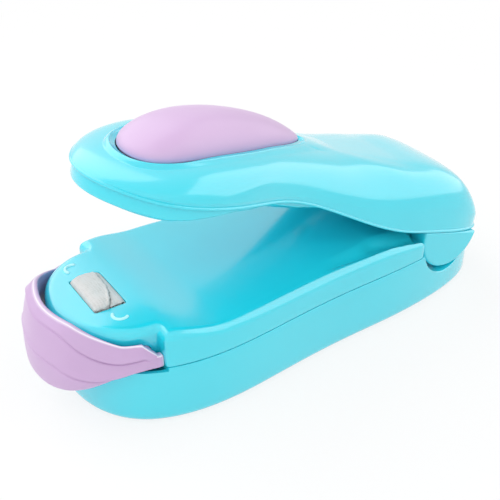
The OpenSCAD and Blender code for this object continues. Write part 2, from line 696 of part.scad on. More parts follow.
module arm_undertray() color(aqua) on_arm() {
    difference() {
        union() {
            difference() {
                skin(tray_rings);
                translate([0, 0, tray_h + tray_floor]) linear_extrude(far) polygon(tray_loop(tray_rim));
                box([-far, tray_end, -far], [far, far, far]);
            }
            for (p = arm_screws_at)
                translate([p[0], p[1], tray_h]) cylinder(d = arm_boss_d, h = tray_top - tray_h);
        }
        for (p = arm_screws_at) translate([p[0], p[1], 0]) {
            cylinder(d = arm_screw_d + screw_fit, h = far);
            cylinder(d = arm_screw_head_d + clear, h = tray_h + screw_sunk + arm_screw_head_t + skim);
        }
        box([-pad_half - skim, pad_front - skim, 0],
            [pad_half + skim, pad_rear + skim, tray_h + pad_in + skim]);
    }
    both_sides() ear();
}

module presser_pad() color(graphite) on_arm()
    box([-pad_half, pad_front, tray_h - pad_proud], [pad_half, pad_rear, tray_h + pad_in]);

module switch_leaf_lower() color(brass) on_arm()
    box([-leaf_half, lower_leaf_span[0], leaf_low], [leaf_half, lower_leaf_span[1], leaf_low + leaf_t]);

module switch_leaf_upper() color(brass) on_arm() {
    box([-leaf_half, upper_leaf_span[0], leaf_low + leaf_gap],
        [leaf_half, upper_leaf_span[1], leaf_low + leaf_gap + leaf_t]);
    box([-leaf_half, upper_leaf_span[1] - leaf_foot, leaf_low],
        [leaf_half, upper_leaf_span[1], leaf_low + leaf_gap + skim]);
}

module arm_screws() color(steel) on_arm() for (p = arm_screws_at)
    translate([p[0], p[1], tray_h + screw_sunk])
        screw(arm_screw_d, arm_screw_head_d, arm_screw_head_t, arm_screw_top - tray_h - screw_sunk);

module button_spring() color(steel) on_arm()
    translate([0, thumb_coil_y, leaf_low + thumb_wire / 2 + cell_gap]) skin(thumb_coil);

module press_button() color(lilac) on_arm() union() {
    skin(button_rings);
    translate([0, stem_y, stem_low]) cylinder(d = stem_d, h = seat_at(stem_y) - lip_drop - stem_low);
}

lower_housing();
upper_housing();
heater_block();
heating_element();
heater_cloth();
heater_terminals();
battery_cells();
battery_springs();
battery_bridge_plate();
battery_tabs();
housing_screws();
hinge_pin();
return_spring();
base_leads();
battery_cover();
front_guard();
arm_shell();
arm_undertray();
presser_pad();
switch_leaf_upper();
switch_leaf_lower();
arm_screws();
button_spring();
press_button();
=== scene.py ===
"""A pocket bag sealer in glossy aqua and lilac plastic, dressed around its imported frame."""

import bpy
import numpy as np
from mathutils import Matrix


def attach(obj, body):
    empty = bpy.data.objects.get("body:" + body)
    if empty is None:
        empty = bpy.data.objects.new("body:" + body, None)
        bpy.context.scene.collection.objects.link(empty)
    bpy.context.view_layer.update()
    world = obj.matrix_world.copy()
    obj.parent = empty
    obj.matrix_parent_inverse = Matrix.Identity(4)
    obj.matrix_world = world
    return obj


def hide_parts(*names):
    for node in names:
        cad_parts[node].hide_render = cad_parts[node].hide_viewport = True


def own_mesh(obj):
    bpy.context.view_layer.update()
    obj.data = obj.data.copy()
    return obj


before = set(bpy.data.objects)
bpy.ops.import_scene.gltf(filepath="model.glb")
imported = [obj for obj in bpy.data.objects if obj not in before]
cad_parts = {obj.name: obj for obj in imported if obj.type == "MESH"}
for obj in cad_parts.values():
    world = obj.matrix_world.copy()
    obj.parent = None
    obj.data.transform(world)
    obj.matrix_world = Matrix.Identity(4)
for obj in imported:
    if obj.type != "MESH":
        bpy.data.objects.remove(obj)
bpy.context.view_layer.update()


# Lower half of the base: a glossy aqua tub, injection moulded, with a rounded foot. The cell bay opens
# through its floor and two round sockets are let into the rear for the arm's ears. Screws from below
# draw it against the upper half along a fine seam.
frame_shift = 33.15


def on_base(points):
    """Millimetres from the shoulder line to metres in the frame: y loses the frame's shift."""
    return (np.asarray(points, float) - [0, frame_shift, 0]) / 1000


def rise(low, high, v):
    """Smooth step: 0 below low, 1 above high, three t squared less two t cubed between."""
    t = np.clip((v - low) / (high - low), 0, 1)
    return t * t * (3 - 2 * t)


def both_halves(half):
    """Closed loop from one half, front to rear, and its mirror image across x = 0."""
    half = np.asarray(half, float)
    return np.vstack([half, (half * [-1, 1, 1][:half.shape[1]])[-2:0:-1]])


def square_to(ahead):
    """Unit normals to the right of the directions given, which point outwards on an anticlockwise loop."""
    return np.stack([ahead[:, 1], -ahead[:, 0]], 1) / np.hypot(*ahead.T)[:, None]


def smooth_loop(half, count):
    """Closed curve through one half's stations and their mirror images, a cubic in each span with equal
    slope and bend where spans meet; gives evenly spread points and their outward normals."""
    p = both_halves(half)
    n = len(p)
    i = np.arange(n)
    chord = np.roll(p, -1, 0) - p
    h = np.hypot(*chord.T)
    before = np.roll(h, 1)
    a = np.zeros((n, n))
    a[i, i] = 2 * (h + before)
    a[i, i - 1] = h
    a[i, (i + 1) % n] = before
    slope = chord / h[:, None]
    m = np.linalg.solve(a, 3 * (h[:, None] * np.roll(slope, 1, 0) + before[:, None] * slope))
    knots = np.concatenate([[0], np.cumsum(h)])
    t = knots[-1] * np.arange(count) / count
    k = np.clip(np.searchsorted(knots, t, "right") - 1, 0, n - 1)
    w = h[k][:, None]
    u = ((t - knots[k]) / h[k])[:, None]
    p0, p1, m0, m1 = p[k], p[(k + 1) % n], m[k] * w, m[(k + 1) % n] * w
    at = (2 * u**3 - 3 * u**2 + 1) * p0 + (u**3 - 2 * u**2 + u) * m0
    at += (3 * u**2 - 2 * u**3) * p1 + (u**3 - u**2) * m1
    d = (6 * u**2 - 6 * u) * (p0 - p1) + (3 * u**2 - 4 * u + 1) * m0 + (3 * u**2 - 2 * u) * m1
    return at, square_to(d)


def ring(plan, z):
    """Plan points lifted to the height z, one number or one for each point."""
    return np.column_stack([plan, np.broadcast_to(z, len(plan))])


def mesh_piece(name, points, faces):
    """New object with a mesh of these points, in metres, and these faces."""
    mesh = bpy.data.meshes.new(name)
    mesh.from_pydata(points.tolist(), [], faces)
    piece = bpy.data.objects.new(name, mesh)
    bpy.context.collection.objects.link(piece)
    return piece


def skin(name, rings, place, ends="mirror"):
    """Grid of four-sided faces over rings of equal length, first ring lowest, each ring running
    anticlockwise. ends: mirror closes the first and last ring across x = 0, fan closes them to their
    middle behind a narrow hem that keeps the end flat, band joins the last ring to the first."""
    rings = np.asarray(rings, float)
    if ends == "fan":
        hems = [r + 0.04 * (r.mean(0) - r) for r in rings[[0, -1]]]
        rings = np.concatenate([hems[:1], rings, hems[1:]])
    m, n = rings.shape[:2]
    grid = np.arange(m * n).reshape(m, n)
    low, high = (grid, np.roll(grid, -1, 0)) if ends == "band" else (grid[:-1], grid[1:])
    faces = np.stack([low, np.roll(low, -1, 1), np.roll(high, -1, 1), high], -1).reshape(-1, 4).tolist()
    points = rings.reshape(-1, 3)
    if ends == "mirror":
        i = np.arange(1, n // 2 - 1)
        for row, turn in ((grid[0], -1), (grid[-1], 1)):
            quads = np.stack([row[i], row[i + 1], row[n - i - 1], row[n - i]], -1)
            tips = [[row[0], row[1], row[n - 1]], [row[n // 2 - 1], row[n // 2], row[n // 2 + 1]]]
            faces += [f[::turn] for f in quads.tolist() + tips]
    if ends == "fan":
        points = np.vstack([points, rings[0].mean(0), rings[-1].mean(0)])
        faces += np.stack([np.roll(grid[0], -1), grid[0], np.full(n, m * n)], -1).tolist()
        faces += np.stack([grid[-1], np.roll(grid[-1], -1), np.full(n, m * n + 1)], -1).tolist()
    return mesh_piece(name, place(points), faces)


def carve(piece, *cutters):
    """Takes the volume of each cutter out of the piece and drops the cutter."""
    for cutter in cutters:
        cut = piece.modifiers.new("cut", "BOOLEAN")
        cut.operation, cut.solver, cut.object = "DIFFERENCE", "EXACT", cutter
        bpy.context.view_layer.update()
        shape = bpy.data.meshes.new_from_object(piece.evaluated_get(bpy.context.evaluated_depsgraph_get()))
        piece.modifiers.clear()
        piece.data = shape
        bpy.data.objects.remove(cutter)
    return piece


def dress(piece, body, slot, material, *nodes, crease=38):
    """Smooth faces with edges sharper than the crease angle left crisp, one material, one body."""
    piece.data.materials.clear()
    piece.data.materials.append(material)
    piece.data.polygons.foreach_set("use_smooth", np.ones(len(piece.data.polygons), bool))
    piece.data.set_sharp_from_angle(angle=np.radians(crease))
    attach(piece, body)
    if nodes:
        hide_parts(*nodes)
    return piece


def on_circle(a):
    """Points of the unit circle at the angles a."""
    return np.stack([np.cos(a), np.sin(a)], 1)


def block(name, low, high, place, round_off=0.3, level=6):
    """Box with rounded upright edges and eased top and bottom rims: a rounded rectangle carried up Z."""
    low, high = np.asarray(low, float), np.asarray(high, float)
    middle, half = (low + high) / 2, (high - low) / 2
    out = on_circle(np.radians(np.arange(-90, 270, 90 / level) + 45 / level))
    corner = np.where(out > 0, 1, -1) * (half[:2] - round_off)
    ease = round_off / 2
    steps = [(ease, low[2]), (ease * 0.3, low[2] + ease * 0.3), (0, low[2] + ease),
             (0, high[2] - ease), (ease * 0.3, high[2] - ease * 0.3), (ease, high[2])]
    return skin(name, [ring(middle[:2] + corner + out * (round_off - d), z) for d, z in steps], place, "fan")


def new_material(name):
    """Empty node material with one Principled shader; gives the material, its nodes and the shader."""
    material = bpy.data.materials.new(name)
    material.use_nodes = True
    return material, material.node_tree, material.node_tree.nodes["Principled BSDF"]


def put(tree, node, values):
    """Sets or links the node's sockets, by name or number."""
    for key, value in values.items():
        if isinstance(value, bpy.types.NodeSocket):
            tree.links.new(value, node.inputs[key])
        else:
            node.inputs[key].default_value = value


def add(tree, kind, values=(), **settings):
    """Adds a node of that kind and sets its fields, then its sockets."""
    made = tree.nodes.new(kind)
    for key, value in settings.items():
        setattr(made, key, value)
    put(tree, made, dict(values))
    return made


def maths(tree, operation, *values):
    """Result of one operation on sockets or numbers."""
    return add(tree, "ShaderNodeMath", dict(enumerate(values)), operation=operation).outputs[0]


def noise(tree, place, scale, detail, rough):
    """Grey value of a cloud noise at a place."""
    values = {"Vector": place, "Scale": scale, "Detail": detail, "Roughness": rough}
    return add(tree, "ShaderNodeTexNoise", values).outputs["Fac"]


def spread(tree, value, low, high):
    """Stretches the range from low to high over 0 to 1."""
    return add(tree, "ShaderNodeMapRange", {"Value": value, "From Min": low, "From Max": high}).outputs[0]


def blend(tree, share, *ends):
    """Colour at that share of the way between two ends, each a socket or red, green and blue."""
    ends = [end if isinstance(end, bpy.types.NodeSocket) else (*end, 1) for end in ends]
    return add(tree, "ShaderNodeMix", {0: share, 6: ends[0], 7: ends[1]}, data_type="RGBA").outputs[2]


def group(name, inputs, outputs):
    """Empty shader node group with number inputs (name: default) and named number outputs."""
    tree = bpy.data.node_groups.new(name, "ShaderNodeTree")
    for label, value in inputs.items():
        tree.interface.new_socket(label, in_out="INPUT", socket_type="NodeSocketFloat").default_value = value
    for label in outputs:
        tree.interface.new_socket(label, in_out="OUTPUT", socket_type="NodeSocketFloat")
    return tree, tree.nodes.new("NodeGroupInput"), tree.nodes.new("NodeGroupOutput")


# What a polished mould leaves on plastic: slow clouds in the tone, a faint ripple, hair-fine scuffs.
mould_skin, given, put_out = group("mould_skin", {"Scuffs": 0.5, "Clouds": 0.5}, ["Tone", "Gloss", "Ripple"])
spot = add(mould_skin, "ShaderNodeTexCoord").outputs["Object"]
clouds = noise(mould_skin, spot, 70, 3, 0.5)
specks = noise(mould_skin, spot, 2600, 2, 0.6)
hair_lie = {"Vector": spot, "Rotation": (0.3, 0.5, 0.7), "Scale": (40, 900, 500)}
hairs = noise(mould_skin, add(mould_skin, "ShaderNodeMapping", hair_lie).outputs[0], 3, 4, 0.7)
scuffs = maths(mould_skin, "MULTIPLY", spread(mould_skin, hairs, 0.6, 0.8), given.outputs["Scuffs"])
drift = maths(mould_skin, "MULTIPLY", maths(mould_skin, "SUBTRACT", clouds, 0.5), given.outputs["Clouds"])
put(mould_skin, put_out, {"Tone": maths(mould_skin, "MULTIPLY_ADD", drift, 0.35, 1.0),
                          "Gloss": maths(mould_skin, "MULTIPLY_ADD", scuffs, 0.16, drift),
                          "Ripple": maths(mould_skin, "MULTIPLY_ADD", clouds, 6.0, specks)})


def surfaced(name, effect, dials, tones, tone_span, rough, relief, fixed, painted_highlight=None):
    """Material that follows a shared effect: its colour slides between two tones, its roughness and relief
    go with the effect's marks, and where a painted highlight is marked the colour turns to its own paler
    tone."""
    material, tree, shader = new_material(name)
    marks = add(tree, "ShaderNodeGroup", dials, node_tree=effect).outputs
    colour = blend(tree, spread(tree, marks["Tone"], *tone_span), *tones)
    # Painted highlight: where the mesh marks it, the colour turns to the given pale tone.
    if painted_highlight:
        edges = add(tree, "ShaderNodeAttribute", attribute_name="painted_highlight").outputs["Fac"]
        colour = blend(tree, edges, colour, painted_highlight)
    height, strength, depth = relief
    bump = add(tree, "ShaderNodeBump", {"Strength": strength, "Distance": depth, "Height": marks[height]})
    gloss = maths(tree, "MULTIPLY_ADD", marks["Gloss"], 0.3, rough)
    put(tree, shader, {"Base Color": colour, "Roughness": gloss, "Normal": bump.outputs[0], **fixed})
    return material


def moulded(name, colour, deep, rough, coat=0.0, depth=0.00002, scuffed=0.6, index=1.5, painted_highlight=None):
    """Moulded plastic: a colour and a deeper one in slow clouds, fine scuffs and a faint ripple."""
    fixed = {"IOR": index, "Coat Weight": coat, "Coat Roughness": 0.10}
    return surfaced(name, mould_skin, {"Scuffs": scuffed, "Clouds": 0.6}, (deep, colour), (0.9, 1.06), rough,
                    ("Ripple", 0.05, depth), fixed, painted_highlight)


aqua = moulded("aqua_plastic", (0.020, 0.660, 0.790), (0.014, 0.620, 0.755), 0.19, coat=0.8, index=1.75)

half_width = 19.3
base_stations = np.array([
    [0, -10.6], [0.311, -9.8], [0.591, -7.3], [0.798, -3.3], [0.927, 2], [0.995, 9], [1, 15.5],
    [0.964, 24], [0.917, 34], [0.894, 44], [0.882, 54], [0.839, 63.5], [0.75, 72.5], [0.58, 79.3],
    [0.311, 82.6], [0, 83.4]])
base_plan, base_out = smooth_loop(base_stations * [half_width, 1], 720)
seam_z, seam_edge, foot_round = 12.3, 0.12, 1.8
turn = np.radians(np.linspace(0, 90, 9))
foot = [ring(base_plan - base_out * foot_round * (1 - np.sin(a)), foot_round * (1 - np.cos(a))) for a in turn]
walls = [ring(base_plan, z) for z in np.linspace(foot_round, seam_z - seam_edge, 7)[1:]]
lips = [ring(base_plan - base_out * seam_edge * (1 - np.cos(a)), seam_z - seam_edge * (1 - np.sin(a)))
        for a in turn[2::2]]
lower = skin("lower_housing_skin", foot + walls + lips, on_base)

hinge_y, hinge_z, open_angle = 69.7, 14.3, np.radians(17)
socket_r, socket_in = 8.5, 10.6


def wall_x(y):
    """Half width of the base at y, read off its plan."""
    half = base_plan[:len(base_plan) // 2 + 1]
    return np.interp(y, half[:, 1], half[:, 0])


def socket_cutter(side):
    """Round bore about the hinge axis whose mouth flares by a small chamfer where it meets the outer wall:
    circles of radius r at x, with x counted from the wall's own half width at each angle."""
    a = np.radians(np.arange(0, 360, 2.5))
    steps = [(0, 0, socket_r), (1, -0.25, socket_r), (1, -0.1, socket_r + 0.06), (1, 0, socket_r + 0.18),
             (0, 15, socket_r + 0.5)]
    rings = []
    for at_wall, depth, r in steps:
        y, z = hinge_y + r * np.cos(a), hinge_z + r * np.sin(a)
        rings.append(np.stack([side * (depth + (wall_x(y) if at_wall else socket_in + 0 * y)), y, z], 1))
    return skin("socket", rings if side > 0 else rings[::-1], on_base, "fan")


def tilted(points):
    """Arm coordinates (y forward of the hinge is negative, z over its axis) turned open about the hinge."""
    x, y, z = np.moveaxis(np.asarray(points, float), -1, 0)
    c, s = np.cos(open_angle), np.sin(open_angle)
    return on_base(np.stack([x, hinge_y + y * c + z * s, hinge_z - y * s + z * c], -1))


screw_spots = [(11, -3), (-11, -3), (7.5, 62.8), (-7.5, 62.8)]
around = on_circle(np.radians(np.arange(0, 360, 7.5)))


def turned(name, spot, profile, place):
    """Piece turned about an upright axis: a circle of radius r at height z for each step of its profile."""
    return skin(name, [ring(around * r + spot, z) for r, z in profile], place, "fan")


def well(x, y, r, low, high, place):
    """Round well for a screw head with a small countersink at its mouth."""
    return turned("well", [x, y], [(r + 0.6, low - 0.4), (r + 0.2, low), (r, low + 0.2), (r, high)], place)


def across_x(plan, x):
    """Points in y and z set at the place x, the partner of ring for what lies along x."""
    return np.column_stack([np.full(len(plan), x), plan])


def bar(name, x0, x1, y, z, r):
    """Round bar along x between two places."""
    return skin(name, [across_x(around * r + [y, z], x) for x in (x0, x1)], on_base, "fan")


opening_half, opening_front, opening_rear = 14.55, 4.45, 58.55
bay_half, bay_front, bay_rear = 15.2, 3.4, 58.7
heater_half, heater_front = 8, -7.5
opening = block("opening", (-opening_half, opening_front, -1), (opening_half, opening_rear, 1.9),
                on_base, 0.6)
bay = block("bay", (-bay_half, bay_front, 1.7), (bay_half, bay_rear, 20), on_base, 0.6)
slant = block("slant", (-40, 0, 0.1), (40, 40, 40), tilted, 0.1)
rear_drop = block("rear_drop", (-40, 2.5, -0.5), (40, 40, 40), tilted, 0.1)
cradle = bar("cradle", -10.9, 10.9, hinge_y, hinge_z, 4.9)
heater_well = block("heater_well", (-heater_half, heater_front, 9.6), (heater_half, 3.6, 14), on_base, 0.3)


def tip_slot(side):
    """Deep slot under the tip of the guard: a four-sided section between the nose and the wall, carried
    along y while it follows the wall's own half width."""
    inner, wall, low, high = 13.0, 0.75, 4, 13
    rings = np.array([[(side * x, y, z) for x, z in
                       ((inner, low), (inner, high), (wall_x(y) - wall, high), (wall_x(y) - wall, low))]
                      for y in np.linspace(-3.2, 1.1, 12)])
    return skin("tip_slot", rings if side > 0 else rings[:, ::-1], on_base, "fan")


ledges = [block("ledge", (s * 25 - 11.6, -30, 11.6), (s * 25 + 11.6, 1.2, 20), on_base, 0.2) for s in (1, -1)]
carve(lower, opening, bay, heater_well, socket_cutter(1), socket_cutter(-1), slant, rear_drop, cradle,
      *ledges, tip_slot(1), tip_slot(-1),
      *[well(x, y, 2.05, 0, 2.1, on_base) for x, y in screw_spots])
dress(lower, "base", "aqua_plastic", aqua, "lower_housing")


# Cell contacts: two spring-steel cones wound from wire, and the plated strips they stand on. The strips
# are stamped with a round dimple for the cell's button and slide into slots in the bay's end walls.
drawn_metal, given, put_out = group("drawn_metal", {"Lines": 0.5}, ["Tone", "Gloss", "Lines"])
spot = add(drawn_metal, "ShaderNodeTexCoord").outputs["Object"]
pulled = add(drawn_metal, "ShaderNodeMapping", {"Vector": spot, "Scale": (120, 2400, 2400)}).outputs[0]
bloom = noise(drawn_metal, spot, 300, 4, 0.6)
weight = maths(drawn_metal, "MULTIPLY", noise(drawn_metal, pulled, 1.0, 4, 0.7), given.outputs["Lines"])
put(drawn_metal, put_out, {"Tone": maths(drawn_metal, "MULTIPLY_ADD", bloom, 0.4, weight),
                           "Gloss": maths(drawn_metal, "MULTIPLY_ADD", bloom, 0.5, weight), "Lines": weight})


def metal(name, colour, dull, rough, lined=0.5):
    """Drawn or rolled metal: tone between a clean and a dull colour, roughness and fine lines along x."""
    return surfaced(name, drawn_metal, {"Lines": lined}, (dull, colour), (0.2, 0.6), rough,
                    ("Lines", 0.15, 0.00002), {"Metallic": 1})


def finish_nodes(material, *names):
    """Gives solids that stay as they are their finish."""
    for name in names:
        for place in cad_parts[name].material_slots:
            place.material = material


def wire(name, path, thick, axis, place, sides=14):
    """Round wire along a path: at each point a circle square to the path, its first radius square to the
    axis given, with both ends rounded off."""
    path = np.asarray(path, float)
    ahead = np.gradient(path, axis=0)
    ahead /= np.linalg.norm(ahead, axis=1, keepdims=True)
    first = np.cross(ahead, axis)
    first /= np.linalg.norm(first, axis=1, keepdims=True)
    second = np.cross(ahead, first)
    b = np.radians(np.linspace(0, 80, 5))
    cap, last = len(b) - 1, len(path) - 1
    at = np.concatenate([np.zeros(cap, int), np.arange(len(path)), np.full(cap, last)])
    push = np.concatenate([-np.sin(b[:0:-1]), np.zeros(len(path)), np.sin(b[1:])]) * thick / 2
    fat = np.concatenate([np.cos(b[:0:-1]), np.ones(len(path)), np.cos(b[1:])]) * thick / 2
    a = np.arange(sides) * 2 * np.pi / sides
    rings = (path[at] + ahead[at] * push[:, None])[:, None] + fat[:, None, None] * (
        np.cos(a)[None, :, None] * first[at][:, None] + np.sin(a)[None, :, None] * second[at][:, None])
    return skin(name, rings, place, "fan")


def helix(r0, r1, tall, turns):
    """Points of a coil up z whose radius runs from r0 to r1: angle, radius and height all grow evenly."""
    t = np.linspace(0, 1, int(36 * turns) + 1)
    g = 2 * np.pi * turns * t
    r = r0 + (r1 - r0) * t
    return np.stack([r * np.cos(g), r * np.sin(g), tall * t], 1)


def join(*pieces):
    """Makes the pieces one object, named as the first."""
    with bpy.context.temp_override(active_object=pieces[0], selected_editable_objects=list(pieces)):
        bpy.ops.object.join()
    return pieces[0]


spring_steel = metal("spring_steel", (0.66, 0.65, 0.63), (0.46, 0.45, 0.43), 0.16, 0.4)
plated_steel = metal("plated_steel", (0.74, 0.73, 0.70), (0.58, 0.57, 0.54), 0.20)
cell_x, cell_z, spring_wire = 7.45, 9.2, 0.7
cone = helix(4.2, 2.6, 2.5, 2.5)[:, [0, 2, 1]]
cones = ("cell_spring_front", [1, 1, -1], -cell_x, 4.3), ("cell_spring_rear", [1, -1, 1], cell_x, 57.8)
springs = [wire(name, cone * facing + [x, y, cell_z], spring_wire, (0, 1, 0), on_base)
           for name, facing, x, y in cones]
dress(join(*springs), "base", "spring_steel", spring_steel, "battery_springs", crease=60)
finish_nodes(plated_steel, "battery_tabs", "battery_bridge_plate")


# Cells: two plain dry cells side by side, steel cans in a dark film shrunk over them. The can's crimped
# ends and the button at one end stay bright steel.
film = moulded("cell_case", (0.055, 0.058, 0.065), (0.035, 0.037, 0.042), 0.30, coat=0.4)
can_steel = metal("can_steel", (0.70, 0.69, 0.66), (0.52, 0.51, 0.48), 0.22)
left_start, right_start = 7.25, 54.85


def across_y(plan, y):
    """Points in x and z set at the place y."""
    return across_x(plan, y)[:, [1, 0, 2]]


def cell(name, x, start, way):
    """Turned body: radius against place along the cell, from the flat crimped end to the button end."""
    profile = [(0.0, 5.0), (0.0, 6.2), (0.12, 6.62), (0.45, 6.75), (0.5, 7.05), (0.62, 7.2), (0.85, 7.25),
               (48.3, 7.25), (48.6, 7.2), (48.75, 7.05), (48.8, 6.6), (49.1, 6.35), (49.45, 6.1), (49.5, 5.2),
               (49.5, 2.95), (49.58, 2.78), (50.2, 2.75), (50.42, 2.6), (50.5, 2.3)]
    sides = 64
    plan = on_circle(np.arange(sides) * 2 * np.pi / sides) * [way, -1]
    rings = [across_y(plan * r + [x, cell_z], start + way * at) for at, r in profile]
    return skin(name, rings, on_base, "fan")


cells = join(cell("cell_left", -cell_x, left_start, 1), cell("cell_right", cell_x, right_start, -1))
dress(cells, "base", "cell_case", film, "battery_cells", crease=30)
middle = np.empty(3 * len(cells.data.polygons))
cells.data.polygons.foreach_get("center", middle)
x, y, _ = middle.reshape(-1, 3).T * 1000
along = np.where(x < 0, y + frame_shift - left_start, right_start - y - frame_shift)
cells.data.materials.append(can_steel)
cells.data.polygons.foreach_set("material_index", ((along < 0.55) | (along > 48.72)).astype(int))


# Heater: a heat-proof off-white block in the nose, a bare resistance ribbon over its top, brass strips
# that clamp the ribbon's legs and two covered leads, one to the cells and one on to the hinge.
heat_proof = moulded("white_block", (0.74, 0.72, 0.66), (0.62, 0.60, 0.54), 0.55, depth=0.0001)
brass = metal("contact_brass", (0.78, 0.57, 0.27), (0.60, 0.42, 0.20), 0.22)
ribbon = metal("hot_ribbon", (0.55, 0.53, 0.50), (0.34, 0.31, 0.28), 0.28)
cover_stuff = moulded("lead_cover", (0.032, 0.033, 0.036), (0.022, 0.023, 0.025), 0.42)
finish_nodes(heat_proof, "heater_block")
finish_nodes(ribbon, "heating_element")
finish_nodes(brass, "heater_terminals")


def through(points, steps=16):
    """Smooth path through points: on each span a cubic whose end slopes join the points either side."""
    p = np.asarray(points, float)
    q = np.vstack([2 * p[0] - p[1], p, 2 * p[-1] - p[-2]])
    t = np.linspace(0, 1, steps, endpoint=False)[None, :, None]
    a, b, c, d = (q[k:len(q) - 3 + k, None] for k in range(4))
    path = b + 0.5 * t * (c - a + t * (2 * a - 5 * b + 4 * c - d + t * (3 * (b - c) + d - a)))
    return np.vstack([path.reshape(-1, 3), p[-1:]])


end_z, run_x, run_z, lead_thick = 13.25, -0.8, 15.2, 1.2
lead_paths = {
    "lead_to_cells": [(6.3, -3.15, end_z), (6.85, 0, end_z), (7.45, 1.8, end_z), (7.45, 3.4, end_z)],
    "lead_to_hinge": [(-6.3, -3.15, end_z), (-6.3, -0.8, end_z), (-3.55, 0, 14.9), (run_x, 2, run_z),
                      (run_x, 5.6, run_z), (run_x, 33, run_z), (run_x, 62.2, run_z)]}
leads = [wire(name, through(points), lead_thick, (0, 0, 1), on_base) for name, points in lead_paths.items()]
dress(join(*leads), "base", "lead_cover", cover_stuff, "base_leads", crease=60)


# Upper half of the base: the aqua deck, moulded in one with the narrower nose, the rails and gutters
# that take the arm's sides, and the knuckles of the hinge. A window in the nose shows the heater, and
# two raised crescents mark its ends.
deck_top, closed_angle = 19.5, np.radians(2.4)


def bend(a, b, c, count):
    """Rounded corner: the parabola from a to c drawn towards b, ends left out."""
    u = np.linspace(0, 1, count + 2)[1:-1, None]
    a, b, c = np.asarray(a, float), np.asarray(b, float), np.asarray(c, float)
    return (1 - u) ** 2 * a + 2 * u * (1 - u) * b + u**2 * c


def edge_distance(points, loop):
    """Least distance of each point to the closed polyline, from its projection on every edge, and the place
    where the nearest edge starts."""
    step = np.roll(loop, -1, 0) - loop
    gap = points[:, None] - loop
    share = np.clip((gap * step).sum(2) / (step**2).sum(1), 0, 1)
    far = ((gap - share[..., None] * step) ** 2).sum(2)
    return np.sqrt(far.min(1)), loop[far.argmin(1)]


def deck_height(y):
    """Deck over the table: the nose stands higher and the deck sinks a little towards the hinge."""
    return deck_top - 1.7 * rise(1.5, 13, y) - 1.6 * rise(50, 64, y)


def deck_edge(y):
    """Rounding of the deck's rim: softest round the nose."""
    return 1.9 - 0.3 * rise(0, 7, y)


def rim_height(y):
    """Lower edge of the arm over the hinge axis: low at the hinge, rising along the neck to the head."""
    return 0.4 + 6.4 * rise(11, 48, -y)


def gutter_depth(x, y):
    """Groove beside each rail: its floor follows the closed arm's lower edge, runs out forwards as a shallow
    hollow and draws outwards there, and its walls are rounded."""
    v = np.linspace(4, 36, 80)
    lower_edge = rim_height(-v) - 0.1
    c, s = np.cos(closed_angle), np.sin(closed_angle)
    bottom = np.interp(-y, -(hinge_y - v * c + lower_edge * s), hinge_z + v * s + lower_edge * c)
    short, hollow = deck_height(y) - bottom, 0.7 * rise(33, 47, y)
    depth = 0.5 * (short + hollow + np.sqrt((short - hollow) ** 2 + 0.1)) * rise(33, 40, y)
    inner = 10.5 + 1.6 * (1 - rise(0.1, 1.5, depth))
    across = np.abs(x)
    return depth * rise(inner, inner + 2.8, across) * (1 - rise(15.0, 16.2, across))


shoulder_y, deck_end = 0.9, 61.2
nose_wide = 14.6
nose_plan, _ = smooth_loop([[0, -12.1], [5.1, -11.2], [9, -9.3], [12, -6.4], [13.9, -3], [nose_wide, 0.9],
                            [14.7, 4], [nose_wide, 9], [12, 14], [0, 17]], 640)
nose = nose_plan[:len(nose_plan) // 2]
nose = nose[nose[:, 1] < shoulder_y - 0.55]
side_y = np.concatenate([np.linspace(1.6, 45, 90), np.linspace(45.4, deck_end - 1.3, 50)])
sides = np.column_stack([wall_x(side_y), side_y])
shoulder = np.array([wall_x(shoulder_y), shoulder_y])
rear = np.array([wall_x(deck_end), deck_end])
notch = np.column_stack([np.linspace(nose[-1, 0] + 0.55, shoulder[0] - 0.55, 6), np.full(6, shoulder_y)])
back_edge = np.column_stack([np.linspace(rear[0] - 1.2, 0, 16), np.full(16, deck_end)])
deck_half = np.vstack([nose, bend(nose[-1], [nose[-1, 0] + 0.02, shoulder_y], notch[0], 5), notch,
                       bend(notch[-1], shoulder, sides[0], 6), sides,
                       bend(sides[-1], rear, back_edge[0], 7), back_edge])
deck_loop = both_halves(deck_half)
count = len(deck_half)
spine_half = np.interp(np.arange(count), [0, len(nose), len(nose) + 17, count - 23, count - 1],
                       [-2, 3, 6, 56, 58])
spine = np.zeros_like(deck_loop)
spine[:, 1] = np.concatenate([spine_half, spine_half[-2:0:-1]])

# The skin of the deck: an eased lower edge, the wall, and rings drawn in towards a spine along the middle,
# each at the deck's height less the rounding of its rim and the gutter.
seam_top = seam_z + 0.2
outward = square_to(np.roll(deck_loop, -1, 0) - np.roll(deck_loop, 1, 0))
deck_rings = [ring(deck_loop - outward * seam_edge * (1 - np.sin(a)), seam_top + seam_edge * (1 - np.cos(a)))
              for a in turn[::2]]
edge = deck_edge(deck_loop[:, 1])
top = deck_height(deck_loop[:, 1]) - edge
deck_rings += [ring(deck_loop, seam_top + seam_edge + (top - seam_top - seam_edge) * u)
               for u in np.linspace(0, 1, 5)[1:]]
reach = np.hypot(*(spine - deck_loop).T)
in_steps = [edge * (1 - np.cos(np.radians(a))) for a in np.linspace(0, 90, 13)[1:]] + [
    edge + d for d in np.arange(0.16, 5.2, 0.16)]
shares = [np.minimum(d / reach, 0.98 * (k + 1) / len(in_steps)) for k, d in enumerate(in_steps)]
shares += [shares[-1] + (0.985 - shares[-1]) * u for u in np.linspace(0, 1, 16)[1:]]
for share in shares:
    plan = deck_loop + (spine - deck_loop) * share[:, None]
    inside, by = edge_distance(plan, deck_loop)
    soft = deck_edge(by[:, 1])
    drop = soft - np.sqrt(soft**2 - (soft - np.clip(inside, 0, soft)) ** 2)
    deck_rings.append(ring(plan, deck_height(plan[:, 1]) - drop - gutter_depth(*plan.T)))
upper = skin("upper_housing_skin", deck_rings, on_base)

window = np.array([[-5.65, -6.15], [5.65, -0.15]])
window_corner = 0.5


